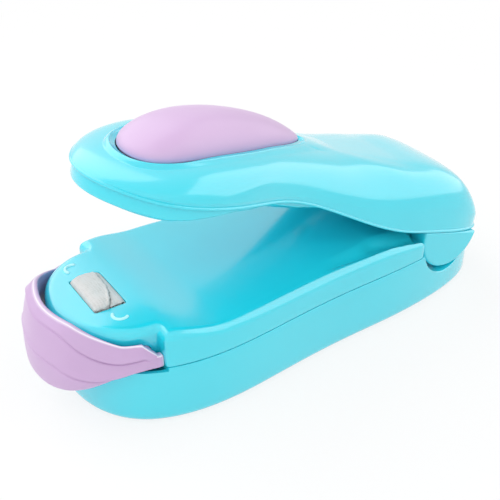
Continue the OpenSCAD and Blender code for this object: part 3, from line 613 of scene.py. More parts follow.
def rounded_window(grow, z):
    """Rounded rectangle of the window, grown by that much, at the height z."""
    low, high = window - [[grow], [-grow]]
    half, middle = (high - low) / 2, (high + low) / 2
    out = on_circle(np.radians(np.arange(0, 360, 11.25) + 5.6))
    return ring(middle + np.sign(out) * (half - window_corner) + window_corner * out, z)


cell_room = 7.4
room_plan = around * [cell_room, -cell_room]
channels = [skin("cell_room", [across_y(room_plan + [x, cell_z], y) for y in (bay_front, 58.3)],
                 on_base, "fan") for x in (cell_x, -cell_x)]
pivot_y, pivot_z, hole_start, far_out = -1.6, 14.9, 12.6, 252
window_steps = (0, -5.5), (0, -0.14), (0.04, -0.06), (0.12, 0), (0.6, 0.5)
carve(upper, skin("window", [rounded_window(grow, deck_top + z) for grow, z in window_steps], on_base, "fan"),
      block("heater_room", (-heater_half, heater_front, 11), (heater_half, 2, 17.2), on_base, 0.3),
      block("lead_room", (-12, 1.9, 11), (12, bay_rear, 14.2), on_base, 0.3),
      block("lead_groove", (-1.6, 1.8, 12), (1.6, 62.5, 16), on_base, 0.2), *channels,
      *[bar("pivot_hole", *span, pivot_y, pivot_z, 1.3)
        for span in ((hole_start, far_out), (-far_out, -hole_start))])


def extruded(name, outline, spans, ease=0.3):
    """Closed outline in y and z carried along x over each span, with its end faces eased inwards."""
    out = square_to(np.roll(outline, -1, 0) - np.roll(outline, 1, 0))
    made = []
    for low, high in spans:
        steps = [(low, ease), (low + 0.3 * ease, 0.3 * ease), (low + ease, 0), (high - ease, 0),
                 (high - 0.3 * ease, 0.3 * ease), (high, ease)]
        made.append(skin(name, [across_x(outline - out * d, x) for x, d in steps], on_base, "fan"))
    return made


lobe = np.radians(np.linspace(203, 525, 60))
knuckle_r, knuckle_low, knuckle_high = 4.6, 12.5, 15.5
knuckle = np.vstack([np.column_stack([np.linspace(59, 65, 7), np.full(7, knuckle_low)]),
                     on_circle(lobe) * knuckle_r + [hinge_y, hinge_z],
                     np.column_stack([np.linspace(65, 59, 7), np.full(7, knuckle_high)])])
pedestal = np.array([[59, knuckle_low], [62, knuckle_low], [65.4, knuckle_low],
                     [65.4, knuckle_high], [62, knuckle_high], [59, knuckle_high]])
hinge_parts = extruded("knuckle", knuckle, [(-10.6, -3.2), (3.2, 10.6)])
hinge_parts += extruded("pedestal", pedestal, [(-3.3, 3.3)], 0.05)
dress(join(upper, *hinge_parts), "base", "aqua_plastic", aqua, "upper_housing")

# The crescents are given a pale aqua: a painted highlight on their raised arcs.
highlight_aqua = moulded("highlight_aqua", (0.52, 0.93, 0.97), (0.42, 0.88, 0.94), 0.22)


def crescent(side, x, y):
    """Raised half ring on the nose: a small circle swept round half a turn, narrowing to both ends."""
    mark_r, mark_fat, mark_z = 1.35, 0.32, deck_top - 0.04
    a = np.radians(np.linspace(-135, 45, 61))
    tube = np.radians(np.arange(0, 360, 22.5))
    fat = mark_fat * np.clip(np.minimum(a - a[0], a[-1] - a) / 0.12 + 0.08, 0, 1) ** 0.5
    r = mark_r + fat[:, None] * np.cos(tube)
    rings = np.stack([side * (x + np.cos(a)[:, None] * r), y + np.sin(a)[:, None] * r,
                      mark_z + fat[:, None] * np.sin(tube)], -1)
    return skin("window_mark", rings[::int(-side)], on_base, "fan")


dress(join(crescent(1, 8.3, -2.7), crescent(-1, 9.0, -3.9)), "base", "aqua_plastic", highlight_aqua)


# Heater cloth: a strip of coated glass cloth folded over the hot ribbon, its flap lying over the lower
# ply with a loose, fraying edge. Both long edges are tucked down into the window of the nose.
cloth_mat, tree, shader = new_material("glass_cloth")
woven = add(tree, "ShaderNodeUVMap", uv_map="cloth").outputs[0]
thread = {"Vector": woven, "Scale": 0.62, "Distortion": 1.4, "Detail": 1, "Detail Scale": 2}
warp, weft = (add(tree, "ShaderNodeTexWave", thread, bands_direction=lie).outputs["Fac"] for lie in "XY")
check = add(tree, "ShaderNodeTexChecker", {"Vector": woven, "Scale": 3.9}).outputs["Fac"]
weave = add(tree, "ShaderNodeMix", {0: check, 2: warp, 3: weft}).outputs[0]
shade = maths(tree, "MULTIPLY_ADD", weave, 0.22, noise(tree, woven, 0.55, 5, 0.65))
tint = add(tree, "ShaderNodeValToRGB", {"Fac": shade})
stops = (0.30, (0.55, 0.52, 0.49, 1)), (0.62, (0.69, 0.66, 0.645, 1))
for stop, (place, colour) in zip(tint.color_ramp.elements, stops):
    stop.position, stop.color = place, colour
# Where the mesh marks painted shade along the flap's fold, the cloth turns to a dark brown-grey.
painted_fold_shade = add(tree, "ShaderNodeAttribute", attribute_name="painted_fold_shade").outputs["Fac"]
bump = add(tree, "ShaderNodeBump", {"Strength": 0.5, "Distance": 0.00006, "Height": weave})
put(tree, shader, {"Base Color": blend(tree, painted_fold_shade, tint.outputs[0], (0.10, 0.085, 0.08)),
                   "Normal": bump.outputs[0], "Roughness": 0.75})
cloth_wide, cloth_leg, cloth_low, cloth_thick = 10.9, 4.0, 19.25, 0.2
ply_front, flap_front, cloth_back, ply_top = -5.8, -6.08, -0.25, 5.55
along = np.linspace(-1, 1, 121)


def cloth_ply(lift, front, run):
    """Strip over the block: run goes from 0 to 1 up the front leg, across the crowned top and down the rear
    leg, and along goes across the nose. Slow waves give the loose hand of the cloth."""
    across, run = np.broadcast_arrays(along[:, None], run)
    top_len = cloth_back - front
    g = run * (2 * cloth_leg + top_len)
    y = np.clip(g - cloth_leg, 0, top_len) + front
    centre = (y - front) / top_len * 2 - 1
    z = cloth_low + lift + np.minimum(0, g - cloth_leg) - np.maximum(0, g - cloth_leg - top_len)
    z = z + 1.25 * (1 - np.abs(centre) ** 3.4) ** 0.55 * (1 - 0.7 * np.abs(across) ** 14)
    wave = 0.05 * np.sin(across * 5 + centre * 2.2 + lift * 9) + 0.03 * np.sin(across * 13 - centre * 4)
    z = z + wave * (1 - np.abs(centre) ** 4)
    drawn_in = 1 - 0.012 * np.sin(run * 23) - 0.008 * np.sin(run * 57 + lift) - 0.08 * np.abs(centre) ** 7
    x = across * cloth_wide / 2 * drawn_in
    return np.stack([x, y, z], -1), np.stack([across * cloth_wide / 2, g], -1)


def grid_faces(m, n):
    """Numbers of a grid of m by n points, and the four-sided faces between its neighbours."""
    grid = np.arange(m * n).reshape(m, n)
    return grid, np.stack([grid[:-1, :-1], grid[1:, :-1], grid[1:, 1:], grid[:-1, 1:]], -1).reshape(-1, 4)


def sheet_piece(name, points, uv, painted_fold_shade):
    """Cloth of one thickness: the grid of points above, the same grid moved against its normals below, and
    walls round the border; the uv runs in millimetres on both faces, and singed gives where painted shade
    darkens the cloth along the fold."""
    m, n = points.shape[:2]
    normal = np.cross(np.gradient(points, axis=0), np.gradient(points, axis=1))
    normal /= np.linalg.norm(normal, axis=-1, keepdims=True)
    both = np.concatenate([points.reshape(-1, 3), (points - normal * cloth_thick).reshape(-1, 3)])
    grid, quads = grid_faces(m, n)
    rim = np.concatenate([grid[:, 0], grid[-1, 1:], grid[-2::-1, -1], grid[0, -2:0:-1]])
    ahead = np.roll(rim, -1)
    walls = np.stack([ahead, rim, rim + m * n, ahead + m * n], -1)
    piece = mesh_piece(name, on_base(both), np.concatenate([quads, quads[:, ::-1] + m * n, walls]).tolist())
    mesh = piece.data
    flat = np.concatenate([uv.reshape(-1, 2)] * 2)
    corners = np.empty(len(mesh.loops), int)
    mesh.loops.foreach_get("vertex_index", corners)
    mesh.uv_layers.new(name="cloth").data.foreach_set("uv", flat[corners].ravel())
    shade_values = np.concatenate([np.broadcast_to(painted_fold_shade, (m, n)).ravel()] * 2)
    mesh.attributes.new("painted_fold_shade", "FLOAT", "POINT").data.foreach_set("value", shade_values)
    return piece


fold = 0.80 - 0.32 * np.clip(along, 0, 1) ** 1.6 + 0.012 * np.sin(along * 17) + 0.008 * np.sin(along * 41)
ply, ply_uv = cloth_ply(0, ply_front, np.linspace(0, 1, 141))
# A narrow band of the ply just past the flap's edge is darkened: a painted shadow of the flap.
past = ply[..., 1] - (flap_front + fold * ply_top)[:, None]
shaded = np.exp(-((past - 0.12) / 0.16) ** 2) * (0.35 + 0.5 * rise(0, 0.9, along))[:, None]
cloth = sheet_piece("heater_cloth_ply", ply, ply_uv, shaded)
dress(cloth, "base", "glass_cloth", cloth_mat, "heater_cloth", crease=60)
hem = (cloth_leg + fold * ply_top) / (2 * cloth_leg + ply_top)
course = np.linspace(0, 1, 120)
flap_lift = 0.26
flap, flap_uv = cloth_ply(flap_lift, flap_front, hem[:, None] * course)
curl = (0.05 + 0.12 * rise(0.1, 1, along))[:, None]
flap[..., 2] += rise(0.90, 0.97, course) * curl - 0.12 * rise(0.97, 1.0, course)
# The flap's own last edge is darkened too: painted shade along the fold.
flap_piece = sheet_piece("heater_cloth_flap", flap, flap_uv, 0.5 * rise(0.985, 1.0, course))
dice = np.random.default_rng(11)
strands, flap_strands, ply_strands = [], 14, 8
t = np.linspace(0, 1, 7)[:, None]
for k in range(flap_strands + ply_strands):
    edge, reach = (flap[-1], (0.36, 0.98)) if k < flap_strands else (ply[-1], (0.4, 0.62))
    root = edge[int(dice.uniform(*reach) * (len(edge) - 1))]
    lean = np.array([dice.uniform(0.3, 0.75), dice.uniform(-0.5, 0.5), dice.uniform(-0.5, 0.1)])
    fibre = root - [0.15, 0, 0.1] + lean * t + [0, 0, -0.45] * t**2
    strands.append(wire("strand", fibre, 0.09, (0, 0, 1), on_base, sides=6))
    strands[-1].data.uv_layers.new(name="cloth")
flap_piece = join(flap_piece, *strands)
dress(flap_piece, "base", "glass_cloth", cloth_mat, crease=60)
for piece in (cloth, flap_piece):
    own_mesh(piece)


# Housing screws: four pan-head steel screws let into wells in the base's floor. Each head is turned to a
# low dome and pressed with a cross for the driver.
screw_steel = metal("screw_steel", (0.70, 0.69, 0.68), (0.50, 0.49, 0.48), 0.18, 0.3)


def screw(name, x, y, low, tall, head, head_r, stem_r, place):
    """Turned about z from a low domed head up into a plain stem with a blunt point, with two crossing
    tapered slots taken out of the head."""
    b = 0.97 * np.sin(np.radians(np.linspace(8, 90, 8)))
    profile = [(head_r * s, low + 0.55 * (1 - np.sqrt(1 - s**2))) for s in b]
    profile += [(head_r, low + 0.5), (head_r, low + head - 0.1), (head_r - 0.1, low + head),
                (stem_r + 0.1, low + head), (stem_r, low + head + 0.15), (stem_r, low + tall - 0.6),
                (stem_r * 0.5, low + tall)]
    corners, taper = np.array([[1, 1], [-1, 1], [-1, -1], [1, -1]]), ((1.0, -0.3), (1.0, 0.1), (0.72, 0.75))
    slots = [skin("slot", [ring(corners * [dx * s, dy * s] + [x, y], low + z) for s, z in taper],
                  place, "fan") for dx, dy in ((1.1, 0.25), (0.25, 1.1))]
    return carve(turned(name, [x, y], profile, place), *slots)


heads = [screw("housing_screw", x, y, 0.4, tall - 0.4, 1.4, 1.9, 1.0, on_base) for (x, y), tall in
         zip(screw_spots, (16.4, 16.4, 14.6, 14.6))]
dress(join(*heads), "base", "plated_steel", screw_steel, "housing_screws", crease=30)


# Cell cover: a thin aqua lid in the floor of the base. It turns on two pegs at its front edge and has a
# shallow dish for the thumb at the other end.
lid_gap, peg_y, peg_z, thumb = 0.35, 5.6, 0.9, [0, 53.2]
lid_half, lid_end = opening_half - lid_gap, opening_rear - lid_gap
lid = block("battery_cover_skin", (-lid_half, peg_y, 0.1), (lid_half, lid_end, 1.7), on_base, 0.6, level=10)
hollow = [(4.6, -0.4), (4.2, 0.06)]
hollow += [(0.2 + 3.8 * np.sin(a), 0.1 + 0.6 * np.cos(a)) for a in np.radians(np.linspace(90, 0, 9))]
carve(lid, turned("dish", thumb, hollow, on_base))
rods = ("cover_barrel", -14.1, 14.1, 0.8), ("cover_peg", -15.6, -13.9, 0.5), ("cover_peg", 13.9, 15.6, 0.5)
barrel = [bar(name, x0, x1, peg_y, peg_z, r) for name, x0, x1, r in rods]
dress(join(lid, *barrel), "cover", "aqua_plastic", aqua, "battery_cover")


# Front guard: a lilac bail moulded in one piece, snapped over two pivots in the nose. Two creases fall from
# its tall front to the sides, and its arms end in a chamfered tip beside the shoulder.
# The guard's lilac is a darker copy of the button's lilac: painted shade.
shaded_lilac = moulded("shaded_lilac", (0.565, 0.390, 0.620), (0.520, 0.345, 0.575), 0.32,
                       painted_highlight=(0.93, 0.86, 0.95))
guard_end = 0.5
tip = [[nose_wide, 0.15], [nose_wide, 0.3], [nose_wide, guard_end]]
path = np.vstack([nose[nose[:, 1] < guard_end - 0.4], tip])
path = np.vstack([(path * [-1, 1])[:0:-1], path])
side_out = square_to(np.gradient(path, axis=0))

# way runs from 0 at the middle of the front to 1 at the tips. The rim, high, is level over the front and the
# arms and slopes between them, with soft corners, and the foot, low, rises to the tips.
way = np.arctan2(np.abs(path[:, 0]) / nose_wide, (guard_end - path[:, 1]) / (guard_end - path[:, 1].min()))
way = (np.degrees(way) / 90)[:, None]
slope = 8.9 * (0.715 - way)
arm_high, front_high = 17.45, 20.9
high = arm_high + 0.5 * (slope + np.sqrt(slope**2 + 0.03))
high = 0.5 * (high + front_high - np.sqrt((high - front_high) ** 2 + 0.12))
high = high - 2.7 * np.clip((way - 0.865) / 0.125, 0, 1)
low = 7.6 + 5.3 * rise(0.1, 0.9, way) - 0.6 * rise(0.75, 0.95, way)
flare = 2.5 * (1 - rise(0.3, 0.95, way))
crease_high = 0.90 - 0.37 * rise(0.20, 0.80, way)
crease_low = 0.43 - 0.39 * rise(0.15, 0.8, way)
rim_r, face_rows = 0.28, 140


def guard_sections():
    """Sections square to the path: up the flared outer face, over the rim, down the inner face and under the
    foot. Each crease is a fine groove under a low swell that falls off slowly upwards. The inner face
    steps in under the nose, so that no light shows past the foot."""
    tall = high - low
    w_out, w_in = np.linspace(0, 1, face_rows), np.linspace(1, 0, 40)
    b = np.radians(np.linspace(0, 90, 6))[1:-1]
    u_out = (rim_r + (tall - 2 * rim_r) * w_out) / tall
    u_in = (rim_r + (tall - 2 * rim_r) * w_in) / tall

    def outer(u):
        """Outer face off the path at the share u of the height: fullness, swells, bevel and chin added."""
        swell, sharp = 0, 0.6 + 0.4 * rise(0.2, 0.5, way)
        for line, size in ((crease_high, 0.38 * sharp), (crease_low, 0.32 * sharp)):
            off = (u - line) * tall
            ridge = np.exp(-((off / np.where(off > 0, 0.8, 0.13)) ** 2))
            groove = np.exp(-(((off + 0.24) / 0.22) ** 2))
            swell = swell + size * (ridge - groove)
        bevel = np.clip((u - crease_high) / (1.001 - crease_high), 0, 1) ** 1.3
        full = 2.5 - 0.4 * rise(0.35, 0.7, way) + flare * (1 - np.clip(u, 0, 1) ** 1.6)
        chin = 0.45 * np.clip((crease_low - u) / crease_low, 0, 1) ** 1.4
        return full + (swell - 0.85 * bevel - chin) * (1 - rise(0.8, 0.97, way))

    def inner(u):
        """Inner face off the path: level, less the step under the nose at the front."""
        return 0.8 - 1.3 * (1 - rise(0.3, 0.62, way)) * (1 - rise(11.0, 12.7, low + tall * u))

    one, none = np.ones_like(way), np.zeros_like(way)
    arc, drop = rim_r * (1 - np.cos(b)), rim_r * (1 - np.sin(b))
    offset = np.concatenate([outer(u_out), outer(one) - arc, inner(one) + arc[::-1], inner(u_in),
                             inner(none) + arc, outer(none) - arc[::-1]], 1)
    height = np.concatenate([low + tall * u_out, high - drop, high - drop[::-1], low + tall * u_in,
                             low + drop, low + drop[::-1]], 1)
    return np.concatenate([path[:, None] + side_out[:, None] * offset[..., None], height[..., None]], -1)


bail = guard_sections()


def nosed(section):
    """Rounded tip: the last section drawn in towards its middle while it runs on a third of a millimetre."""
    s = np.sin(np.radians(np.linspace(0, 90, 7)))[1:, None, None]
    middle = section.mean(0)
    return middle + (section - middle) * (1 - (1 - np.sqrt(1 - s * s)) * [0.5, 0.5, 0.2]) + [0, 0.35, 0] * s


bail = np.concatenate([nosed(bail[0])[::-1], bail, nosed(bail[-1])])
guard = skin("front_guard_skin", bail, on_base, "fan")
station = np.arange(bail.shape[1])
# Painted highlight: the outer arc of the rim and the rounded tips at both ends turn towards near white.
rim_highlight = 0.9 * rise(face_rows - 1, face_rows + 1, station) * (1 - rise(face_rows + 2, face_rows + 4, station))

# The skin has one more row at each end, the hem, and then the two middles that close it.
rim_highlight = np.tile(rim_highlight, (len(bail) + 2, 1))
rim_highlight[[3, 4, 5, 6, -7, -6, -5, -4]] = 0.6
rim_highlight = np.append(rim_highlight.ravel(), [0.3, 0.3])
guard.data.attributes.new("painted_highlight", "FLOAT", "POINT").data.foreach_set("value", rim_highlight)
stubs = [bar("guard_stub", *span, pivot_y, pivot_z, 1.2) for span in ((12.9, 16.0), (-16.0, -12.9))]
dress(join(guard, *stubs), "guard", "lilac_plastic", shaded_lilac, "front_guard", crease=50)


# Hinge: a plain steel pin through the knuckles and the arm's ears, with the coil that lifts the arm wound
# round it in the middle slot.
finish_nodes(plated_steel, "hinge_pin")
coil_long, coil_r = 4.7, 2.3
winding = helix(coil_r, coil_r, coil_long, 4)[:, [2, 1, 0]] * [1, 1, -1] + [-coil_long / 2, hinge_y, hinge_z]
lift_coil = wire("return_spring_coil", winding, spring_wire, (1, 0, 0), on_base)
dress(lift_coil, "base", "spring_steel", spring_steel, "return_spring", crease=60)


# Undertray: the aqua moulding that closes the arm from below and carries the presser pad. Screws from
# below hold it in the shell, and its two round ears turn on the hinge pin in the base's sockets.
arm_stations = [[0, -79.4], [4, -78.8], [8, -76.9], [11.6, -74.2], [14.2, -71], [15.9, -66.5], [16.3, -61.5],
                [15.6, -55.5], [14.2, -49.5], [13.3, -44], [13, -38], [13.4, -31], [14.1, -23], [14.8, -14],
                [15.1, -4], [14.6, 4.5], [12.6, 9.6], [8.2, 12.1], [0, 12.7]]
arm_plan, arm_out = smooth_loop(arm_stations, 720)
arm_half = arm_plan[:len(arm_plan) // 2 + 1]
tray_inset = 2.4 - 1.9 * rise(44, 54, -arm_plan[:, 1])
keep = arm_half[:, 1] < -13
tray_low, tray_top, tray_end, hull_round = 3.3, 6.72, -12.3, 0.4
hull_edge = np.interp(-arm_plan[:, 1], [40, 46, 51, 57.6, 62.6, 66, 69.6, 80],
                      [4.4, 5.2, 6.2, 6.2, 5.4, 4.82, 4.36, 4.15])
hull_wide = hull_round + (hull_edge - tray_low) / 0.5


def tray_ring(more, z):
    """The arm's loop drawn in by the tray's inset and cut square across the neck, at heights z."""
    half = ring(arm_plan - arm_out * (tray_inset + more)[:, None], z)[:len(arm_half)][keep]
    square = np.column_stack([np.linspace(half[-1, 0] - 0.1, 0, 30), np.full(30, tray_end)])
    return both_halves(np.vstack([half, ring(square, half[-1, 2])]))


tray_rings = [tray_ring(hull_round + (hull_wide - hull_round) * (1 - u),
                        tray_low + (hull_edge - tray_low) * (0.12 * u + 0.88 * u**1.15))
              for u in np.linspace(0, 1, 9)]
tray_rings += [tray_ring(hull_round * (1 - np.sin(a)), hull_edge + hull_round * (1 - np.cos(a)))
               for a in turn[2::2]]
tray_rings += [tray_ring(d, tray_top - z) for d, z in ((0, 0.07), (0.02, 0.02), (0.1, 0))]
tray = skin("arm_undertray_skin", tray_rings, tilted)
arm_screw_spots = [(12, -57, 2.35), (-12, -57, 2.35), (8, -24, 0.4), (-8, -24, 0.4)]
carve(tray, block("pad_seat", (-6.05, -75.85, 2), (6.05, -70.35, 4), tilted, 0.3),
      *[well(x, y, 1.95, tray_low, tray_low + deep + 0.95, tilted) for x, y, deep in arm_screw_spots])


def ear(side):
    """Round ear below the shell's edge: a disc cut straight along the edge, its outer face eased round. At
    the draw d the circle has the radius less d and the straight cut lies d lower."""
    ear_r, cut_z, face_x, face_round = 7.7, 0.37, 14.45, 0.55
    steps = [(10.9, 0.3), (11.0, 0.1), (11.2, 0.0), (face_x, 0.0)]
    steps += [(face_x + face_round * np.sin(b), face_round * (1 - np.cos(b)))
              for b in np.radians((15, 30, 45, 60, 75, 90))]
    rings = []
    for x, d in steps:
        r, flat = ear_r - d, cut_z - d
        lift = np.arcsin(flat / r)
        a = np.linspace(np.pi - lift, 2 * np.pi + lift, 90)
        chord = np.linspace(r * np.cos(lift), -r * np.cos(lift), 32)[1:-1]
        outline = np.vstack([on_circle(a) * r, np.column_stack([chord, np.full(len(chord), flat)])])
        rings.append(across_x(outline, side * x))
    return skin("ear", rings if side > 0 else rings[::-1], tilted, "fan")


hub = [across_x(6 * around, x) for x in (10.9, 11.1, 12.1, 12.3)]
ears = [ear(1), ear(-1)]
for side in (1, -1):
    ears.append(skin("hub", [h * [side, 1, 1] for h in hub][::side], tilted, "fan"))
    ears.append(block("web", (side * 11.7 - 0.8, -13.6, tray_low), (side * 11.7 + 0.8, 0, 6), tilted, 0.4))
dress(join(tray, *ears), "arm", "aqua_plastic", aqua, "arm_undertray")


# Presser pad: a strip of grey silicone pushed into a pocket of the tray, which clamps the bag on the cloth.
# It is soft, matt and slightly rounded along its edges.
silicone = moulded("grey_silicone", (0.30, 0.30, 0.31), (0.24, 0.24, 0.25), 0.55, depth=0.00012, scuffed=0.2)
pad = block("presser_pad_skin", (-5.8, -75.2, 3.1), (5.8, -70.5, 3.95), tilted, 1.8, level=10)
dress(pad, "arm", "grey_silicone", silicone, "presser_pad")


# Switch: two brass leaves on the tray's floor, the upper bent over the lower, and under the thumb button a
# small coil that lifts it again.
finish_nodes(brass, "switch_leaf_upper", "switch_leaf_lower")
thumb_coil = wire("button_spring_coil", helix(2, 2, 2.3, 2.25) + [0, -65, 5.0], 0.5, (0, 0, 1), tilted)
dress(thumb_coil, "arm", "spring_steel", spring_steel, "button_spring", crease=60)
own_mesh(thumb_coil)


# Arm shell: the long aqua upper moulding, a wide oval head, a waisted neck and a square hinge end. It is
# one thin wall with a moat sunk round the button and a slim rounded bead along its lower rim.
button_stations = [[0, -71.9], [3.1, -71.4], [5.8, -69.8], [7.5, -66.9], [8, -63], [7.6, -57], [6.3, -49.8],
                   [4.2, -42.6], [1.9, -37.3], [0, -35.3]]
arm_spine = np.array([0, -33.0])


def back_height(y):
    """Crown of the arm over the hinge axis: higher at the head and falling to its front, dipped along the
    neck, humped over the hinge and rounded off behind it."""
    fall = 0.0025 * np.maximum(0, -y - 52) ** 2 + 0.006 * np.maximum(0, -y - 62) ** 2
    fall = fall + 0.059 * np.maximum(0, y + 0.3) ** 2
    return 13.3 + 0.9 * rise(25, 48, -y) - 0.4 * np.exp(-((y + 20) / 9) ** 2) + rise(-14, -2, y) - fall


def squareness(y):
    """Power of the arm's section: boxy beside the hinge, softer at the head and round the rear."""
    return 3.9 - 1.2 * rise(-6, 30, -y) - 0.3 * rise(68, 78, -y) - 0.9 * rise(-12, 6, y)


def from_spine(p):
    """Angle of each point round the arm's spine point, the same on both sides, and its distance."""
    d = p - arm_spine
    return np.abs(np.arctan2(d[:, 0], -d[:, 1])), np.hypot(*d.T)


def dome(plan):
    """Height of the arm over plan points: each lies at the share s of the ray from the spine point to the
    arm's loop, and stands (1 - s to the power k) to the power 1/k of the way from rim to crown."""
    angle, r = from_spine(plan)
    loop_angle, loop_r = from_spine(arm_half)
    y0 = np.interp(angle, loop_angle, arm_half[:, 1])
    s = np.clip(r / np.interp(angle, loop_angle, loop_r), 0, 1)
    k, edge = squareness(y0), rim_height(y0)
    return edge + (back_height(plan[:, 1]) - edge) * (1 - s**k) ** (1 / k)


def dome_band(loop, angles, drop=0.0):
    """Rings up from the rim: plan drawn towards the spine point by cos a, height by sin a, each to 2/k."""
    k, edge = squareness(loop[:, 1]), rim_height(loop[:, 1])
    made = []
    for a in angles:
        s, t = np.cos(a) ** (2 / k), np.sin(a) ** (2 / k)
        plan = arm_spine + (loop - arm_spine) * s[:, None]
        made.append(ring(plan, edge + (back_height(plan[:, 1]) - drop - edge) * t))
    return made


def seat_height(y):
    """Foot of the button over the hinge axis, falling towards the front of the head."""
    return 14.6 - 0.0033 * np.maximum(0, -y - 38) ** 2 - 0.2 * rise(-60, -50, y) - 0.3 * rise(-47, -37, y)


run = np.concatenate([[0], np.cumsum(np.hypot(*np.diff(arm_half, axis=0).T))])
neck_run = np.interp(-38, arm_half[:, 1], run)
match_half = np.interp(run, [0, neck_run, run[-1]], [0, 0.46, 0.5])
match = np.concatenate([match_half, 1 - match_half[-2:0:-1]])
fine_button, fine_out = smooth_loop(button_stations, 2880)


def at_match(curve):
    """Points of the button's finely drawn loop that stand opposite the arm's loop points."""
    place = match * len(curve)
    i = place.astype(int)
    w = (place - i)[:, None]
    return curve[i % len(curve)] * (1 - w) + curve[(i + 1) % len(curve)] * w


button_plan, button_out = at_match(fine_button), at_match(fine_out)
button_out /= np.hypot(*button_out.T)[:, None]
shell_wall, moat_wide, moat_round, hole_gap = 1.5, 1.1, 0.45, 0.15
moat, hole = button_plan + button_out * moat_wide, button_plan + button_out * hole_gap
top_angle = np.radians(25 + 40 * rise(-45, -15, arm_plan[:, 1]))
inner_loop = arm_plan - arm_out * shell_wall
rim = rim_height(arm_plan[:, 1])

# The rings of the shell: the bead, the outer dome up to the brim, the lip round the moat, down to the foot of
# the button, through the hole and back under the dome, one wall further in, to the rim.
bead = np.radians(np.linspace(0, 180, 13))
rings = [ring(arm_plan - arm_out * (0.30 - 0.42 * np.sin(a)), rim + 0.32 * (1 - np.cos(a)))
         for a in bead[:-1]]
rings += dome_band(arm_plan, [np.maximum(top_angle * u, 0.10) for u in np.linspace(0, 1, 19)[3:]])
band_top = rings[-1][:, :2]
brim = moat + button_out * moat_round
collar = seat_height(moat[:, 1]) + 0.02 - dome(moat)
collar = 0.5 * (collar + np.sqrt(collar**2 + 0.01))
for u in np.linspace(0, 1, 41)[1:] ** 0.85:
    plan = band_top + (brim - band_top) * u
    rings.append(ring(plan, dome(plan) + collar * rise(0.72, 1, u)))
lip = ((0.40, 0.03), (0.33, 0.07), (0.26, 0.10), (0.19, 0.10), (0.12, 0.07), (0.06, 0), (0, -0.1),
       (-0.07, -0.2), (-0.15, -0.27))
for off, lift in lip:
    plan = moat + button_out * off
    rings.append(ring(plan, dome(plan) + lift + collar))
sill = rings[-1]
foot_line = ring(hole, seat_height(hole[:, 1]) - 0.16 - 0.4 * rise(58, 68, -hole[:, 1]))
rings += [sill + (foot_line - sill) * u - [0, 0, 0.05 * np.sin(np.pi * u)] for u in (0.25, 0.5, 0.75, 1)]
floor = foot_line[:, 2] - 1.0
rings += [ring(hole, foot_line[:, 2] - 0.5), ring(hole, floor), ring(moat + button_out * 0.6, floor)]
start = rings[-1]
inner_angle = np.radians(24 + 16 * rise(-66, -50, arm_plan[:, 1]))
inner_steps = (1, 40), (0.85, 30), (0.7, 20), (0.5, 12), (0.2, 5), (0.06, 1.5)
inside = dome_band(inner_loop, [np.minimum(inner_angle * u, np.radians(a)) for u, a in inner_steps],
                   shell_wall)
rings += [start + (inside[0] - start) * u for u in (0.12, 0.3, 0.5, 0.7, 0.85)] + inside
shell = skin("arm_shell_skin", rings, tilted, "band")
dress(shell, "arm", "aqua_plastic", aqua, "arm_shell")


# Arm screws: four smaller pan-head screws that come up through the tray into the shell, their heads sunk
# in round wells.
heads = [screw("arm_screw", x, y, tray_low + deep, 10.5 - tray_low - deep, 0.9, 1.8, 0.9, tilted)
         for x, y, deep in arm_screw_spots]
dress(join(*heads), "arm", "plated_steel", screw_steel, "arm_screws", crease=30)


# Thumb button: a lilac teardrop dome, moulded hollow, which stands in the moat on a skirt and is held
# from below by its own lip against the shell.
lilac = moulded("lilac_plastic", (0.640, 0.455, 0.690), (0.595, 0.410, 0.650), 0.30)
dense_button, dense_out = smooth_loop(button_stations, 480)
button_spine = np.array([0, -57.0])
seat = seat_height(dense_button[:, 1])
skirt = ((1.3, 2.6), (0.85, 2.6), (0.75, 2.45), (0.75, 1.2), (0.6, 0.7), (0.2, 0.58), (0.06, 0.48), (0, 0.3),
         (0, 0))
button_rings = [ring(dense_button - dense_out * d, seat - z) for d, z in skirt]


def button_crown(y):
    """Highest line of the button over the hinge axis: a shallow parabola along the arm."""
    return 19.03 - 0.0085 * (-y - 50) ** 2


for s in 1 - np.linspace(0.01, 0.99, 56) ** 2:
    plan = button_spine + (dense_button - button_spine) * s
    seat = seat_height(plan[:, 1])
    button_rings.append(ring(plan, seat + (button_crown(plan[:, 1]) - seat) * (1 - s**2.3) ** 0.54))
button = skin("press_button_skin", button_rings, tilted)
dress(button, "button", "lilac_plastic", lilac, "press_button")


# Stage: a white table and a plain soft studio. Large soft boxes and a white room give the long clean
# reflections on the gloss, and the camera stands where the photograph was taken.

def shown_white(tree, surface, level, out):
    """Mixes a plain white of strength 1 over the surface, up to that level, for rays from the camera, gloss
    and glass."""
    white = add(tree, "ShaderNodeEmission" if out == "Material Output" else "ShaderNodeBackground",
                {"Color": (1, 1, 1, 1), "Strength": 1.0})
    ray = add(tree, "ShaderNodeLightPath").outputs
    seen = maths(tree, "MAXIMUM", ray["Is Camera Ray"], ray["Is Glossy Ray"])
    seen = maths(tree, "MAXIMUM", seen, ray["Is Transmission Ray"])
    seen = maths(tree, "MINIMUM", seen, level)
    both = add(tree, "ShaderNodeMixShader", {0: seen, 1: surface, 2: white.outputs[0]})
    put(tree, tree.nodes[out], {"Surface": both.outputs[0]})


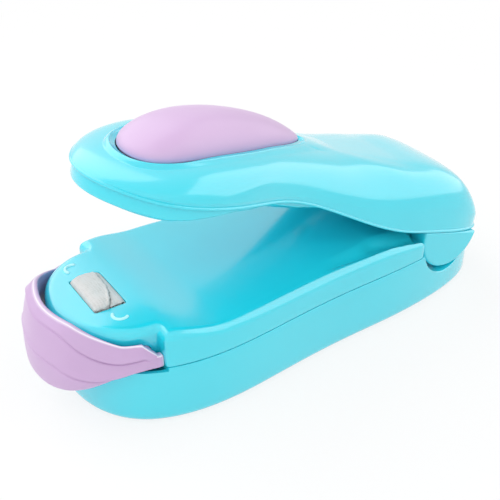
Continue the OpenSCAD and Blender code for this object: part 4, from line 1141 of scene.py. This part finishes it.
table_mat, tree, shader = new_material("white_table")
put(tree, shader, {"Base Color": (0.9, 0.9, 0.9, 1), "Roughness": 0.9})
spot = add(tree, "ShaderNodeTexCoord").outputs["Object"]
away = add(tree, "ShaderNodeVectorMath", {0: spot}, operation="LENGTH").outputs["Value"]
fade = add(tree, "ShaderNodeMapRange", {"Value": away, "From Min": 0.06, "From Max": 0.22,
                                        "To Min": 0.8, "To Max": 1.0})
shown_white(tree, shader.outputs[0], fade.outputs[0], "Material Output")
table_low, table_marks = -0.0002, np.linspace(-4, 4, 9)
places = np.stack(np.meshgrid(table_marks, table_marks, [table_low], indexing="ij"), -1).reshape(-1, 3)
_, quads = grid_faces(len(table_marks), len(table_marks))
table = mesh_piece("table", places, quads.tolist())
table.data.materials.append(table_mat)

world = bpy.data.worlds.new("white_room")
bpy.context.scene.world = world
world.use_nodes = True
room = world.node_tree.nodes["Background"]
put(world.node_tree, room, {"Color": (1, 1, 1, 1), "Strength": 0.26})
shown_white(world.node_tree, room.outputs[0], 1.0, "World Output")


def looking(at, towards):
    """Pose at a point, its own z pointing back from the place it faces and its x level."""
    back = np.asarray(at, float) - towards
    back /= np.linalg.norm(back)
    right = np.cross((0, 0, 1), back)
    right /= np.linalg.norm(right)
    pose = np.eye(4)
    pose[:3] = np.column_stack([right, np.cross(back, right), back, at])
    return Matrix(pose.tolist())


def bearing(around_z, up):
    """Unit vector so many degrees round z from the front and so many degrees up."""
    a, e = np.radians(around_z), np.radians(up)
    return np.array([np.sin(a) * np.cos(e), -np.cos(a) * np.cos(e), np.sin(e)])


lamp_far, lamp_aim = 0.8, (0, 0, 0.02)
soft_boxes = (("rear_box", 160, 35, (1.10, 1.00), 1.05, True),
              ("left_box", -78, 40, (0.70, 0.70), 0.95, True),
              ("right_box", 68, 36, (0.95, 0.75), 1.0, False),
              ("front_box", 18, 46, (1.10, 0.90), 1.0, False),
              ("left_fill", -60, 36, (1.00, 1.00), 1.15, False))
for name, around_z, up, size, level, mirrored in soft_boxes:
    lamp = bpy.data.lights.new(name, "AREA")
    lamp.shape, lamp.size, lamp.size_y = "RECTANGLE", size[0], size[1]
    lamp.energy = level * np.pi * size[0] * size[1]
    box = bpy.data.objects.new(name, lamp)
    box.matrix_world = looking(lamp_far * bearing(around_z, up), lamp_aim)
    box.visible_glossy = mirrored
    bpy.context.collection.objects.link(box)

azimuth, elevation, distance = 56.45, 33, 0.170
target = np.array([0, -0.00373, 0.01665])
lens = bpy.data.cameras.new("camera")
lens.lens, lens.sensor_width, lens.clip_start = 62.19, 36, 0.01
camera = bpy.data.objects.new("camera", lens)
camera.matrix_world = looking(target + distance * bearing(azimuth, elevation), target)
bpy.context.collection.objects.link(camera)
bpy.context.scene.camera = camera
bpy.context.scene.view_settings.view_transform = "Standard"
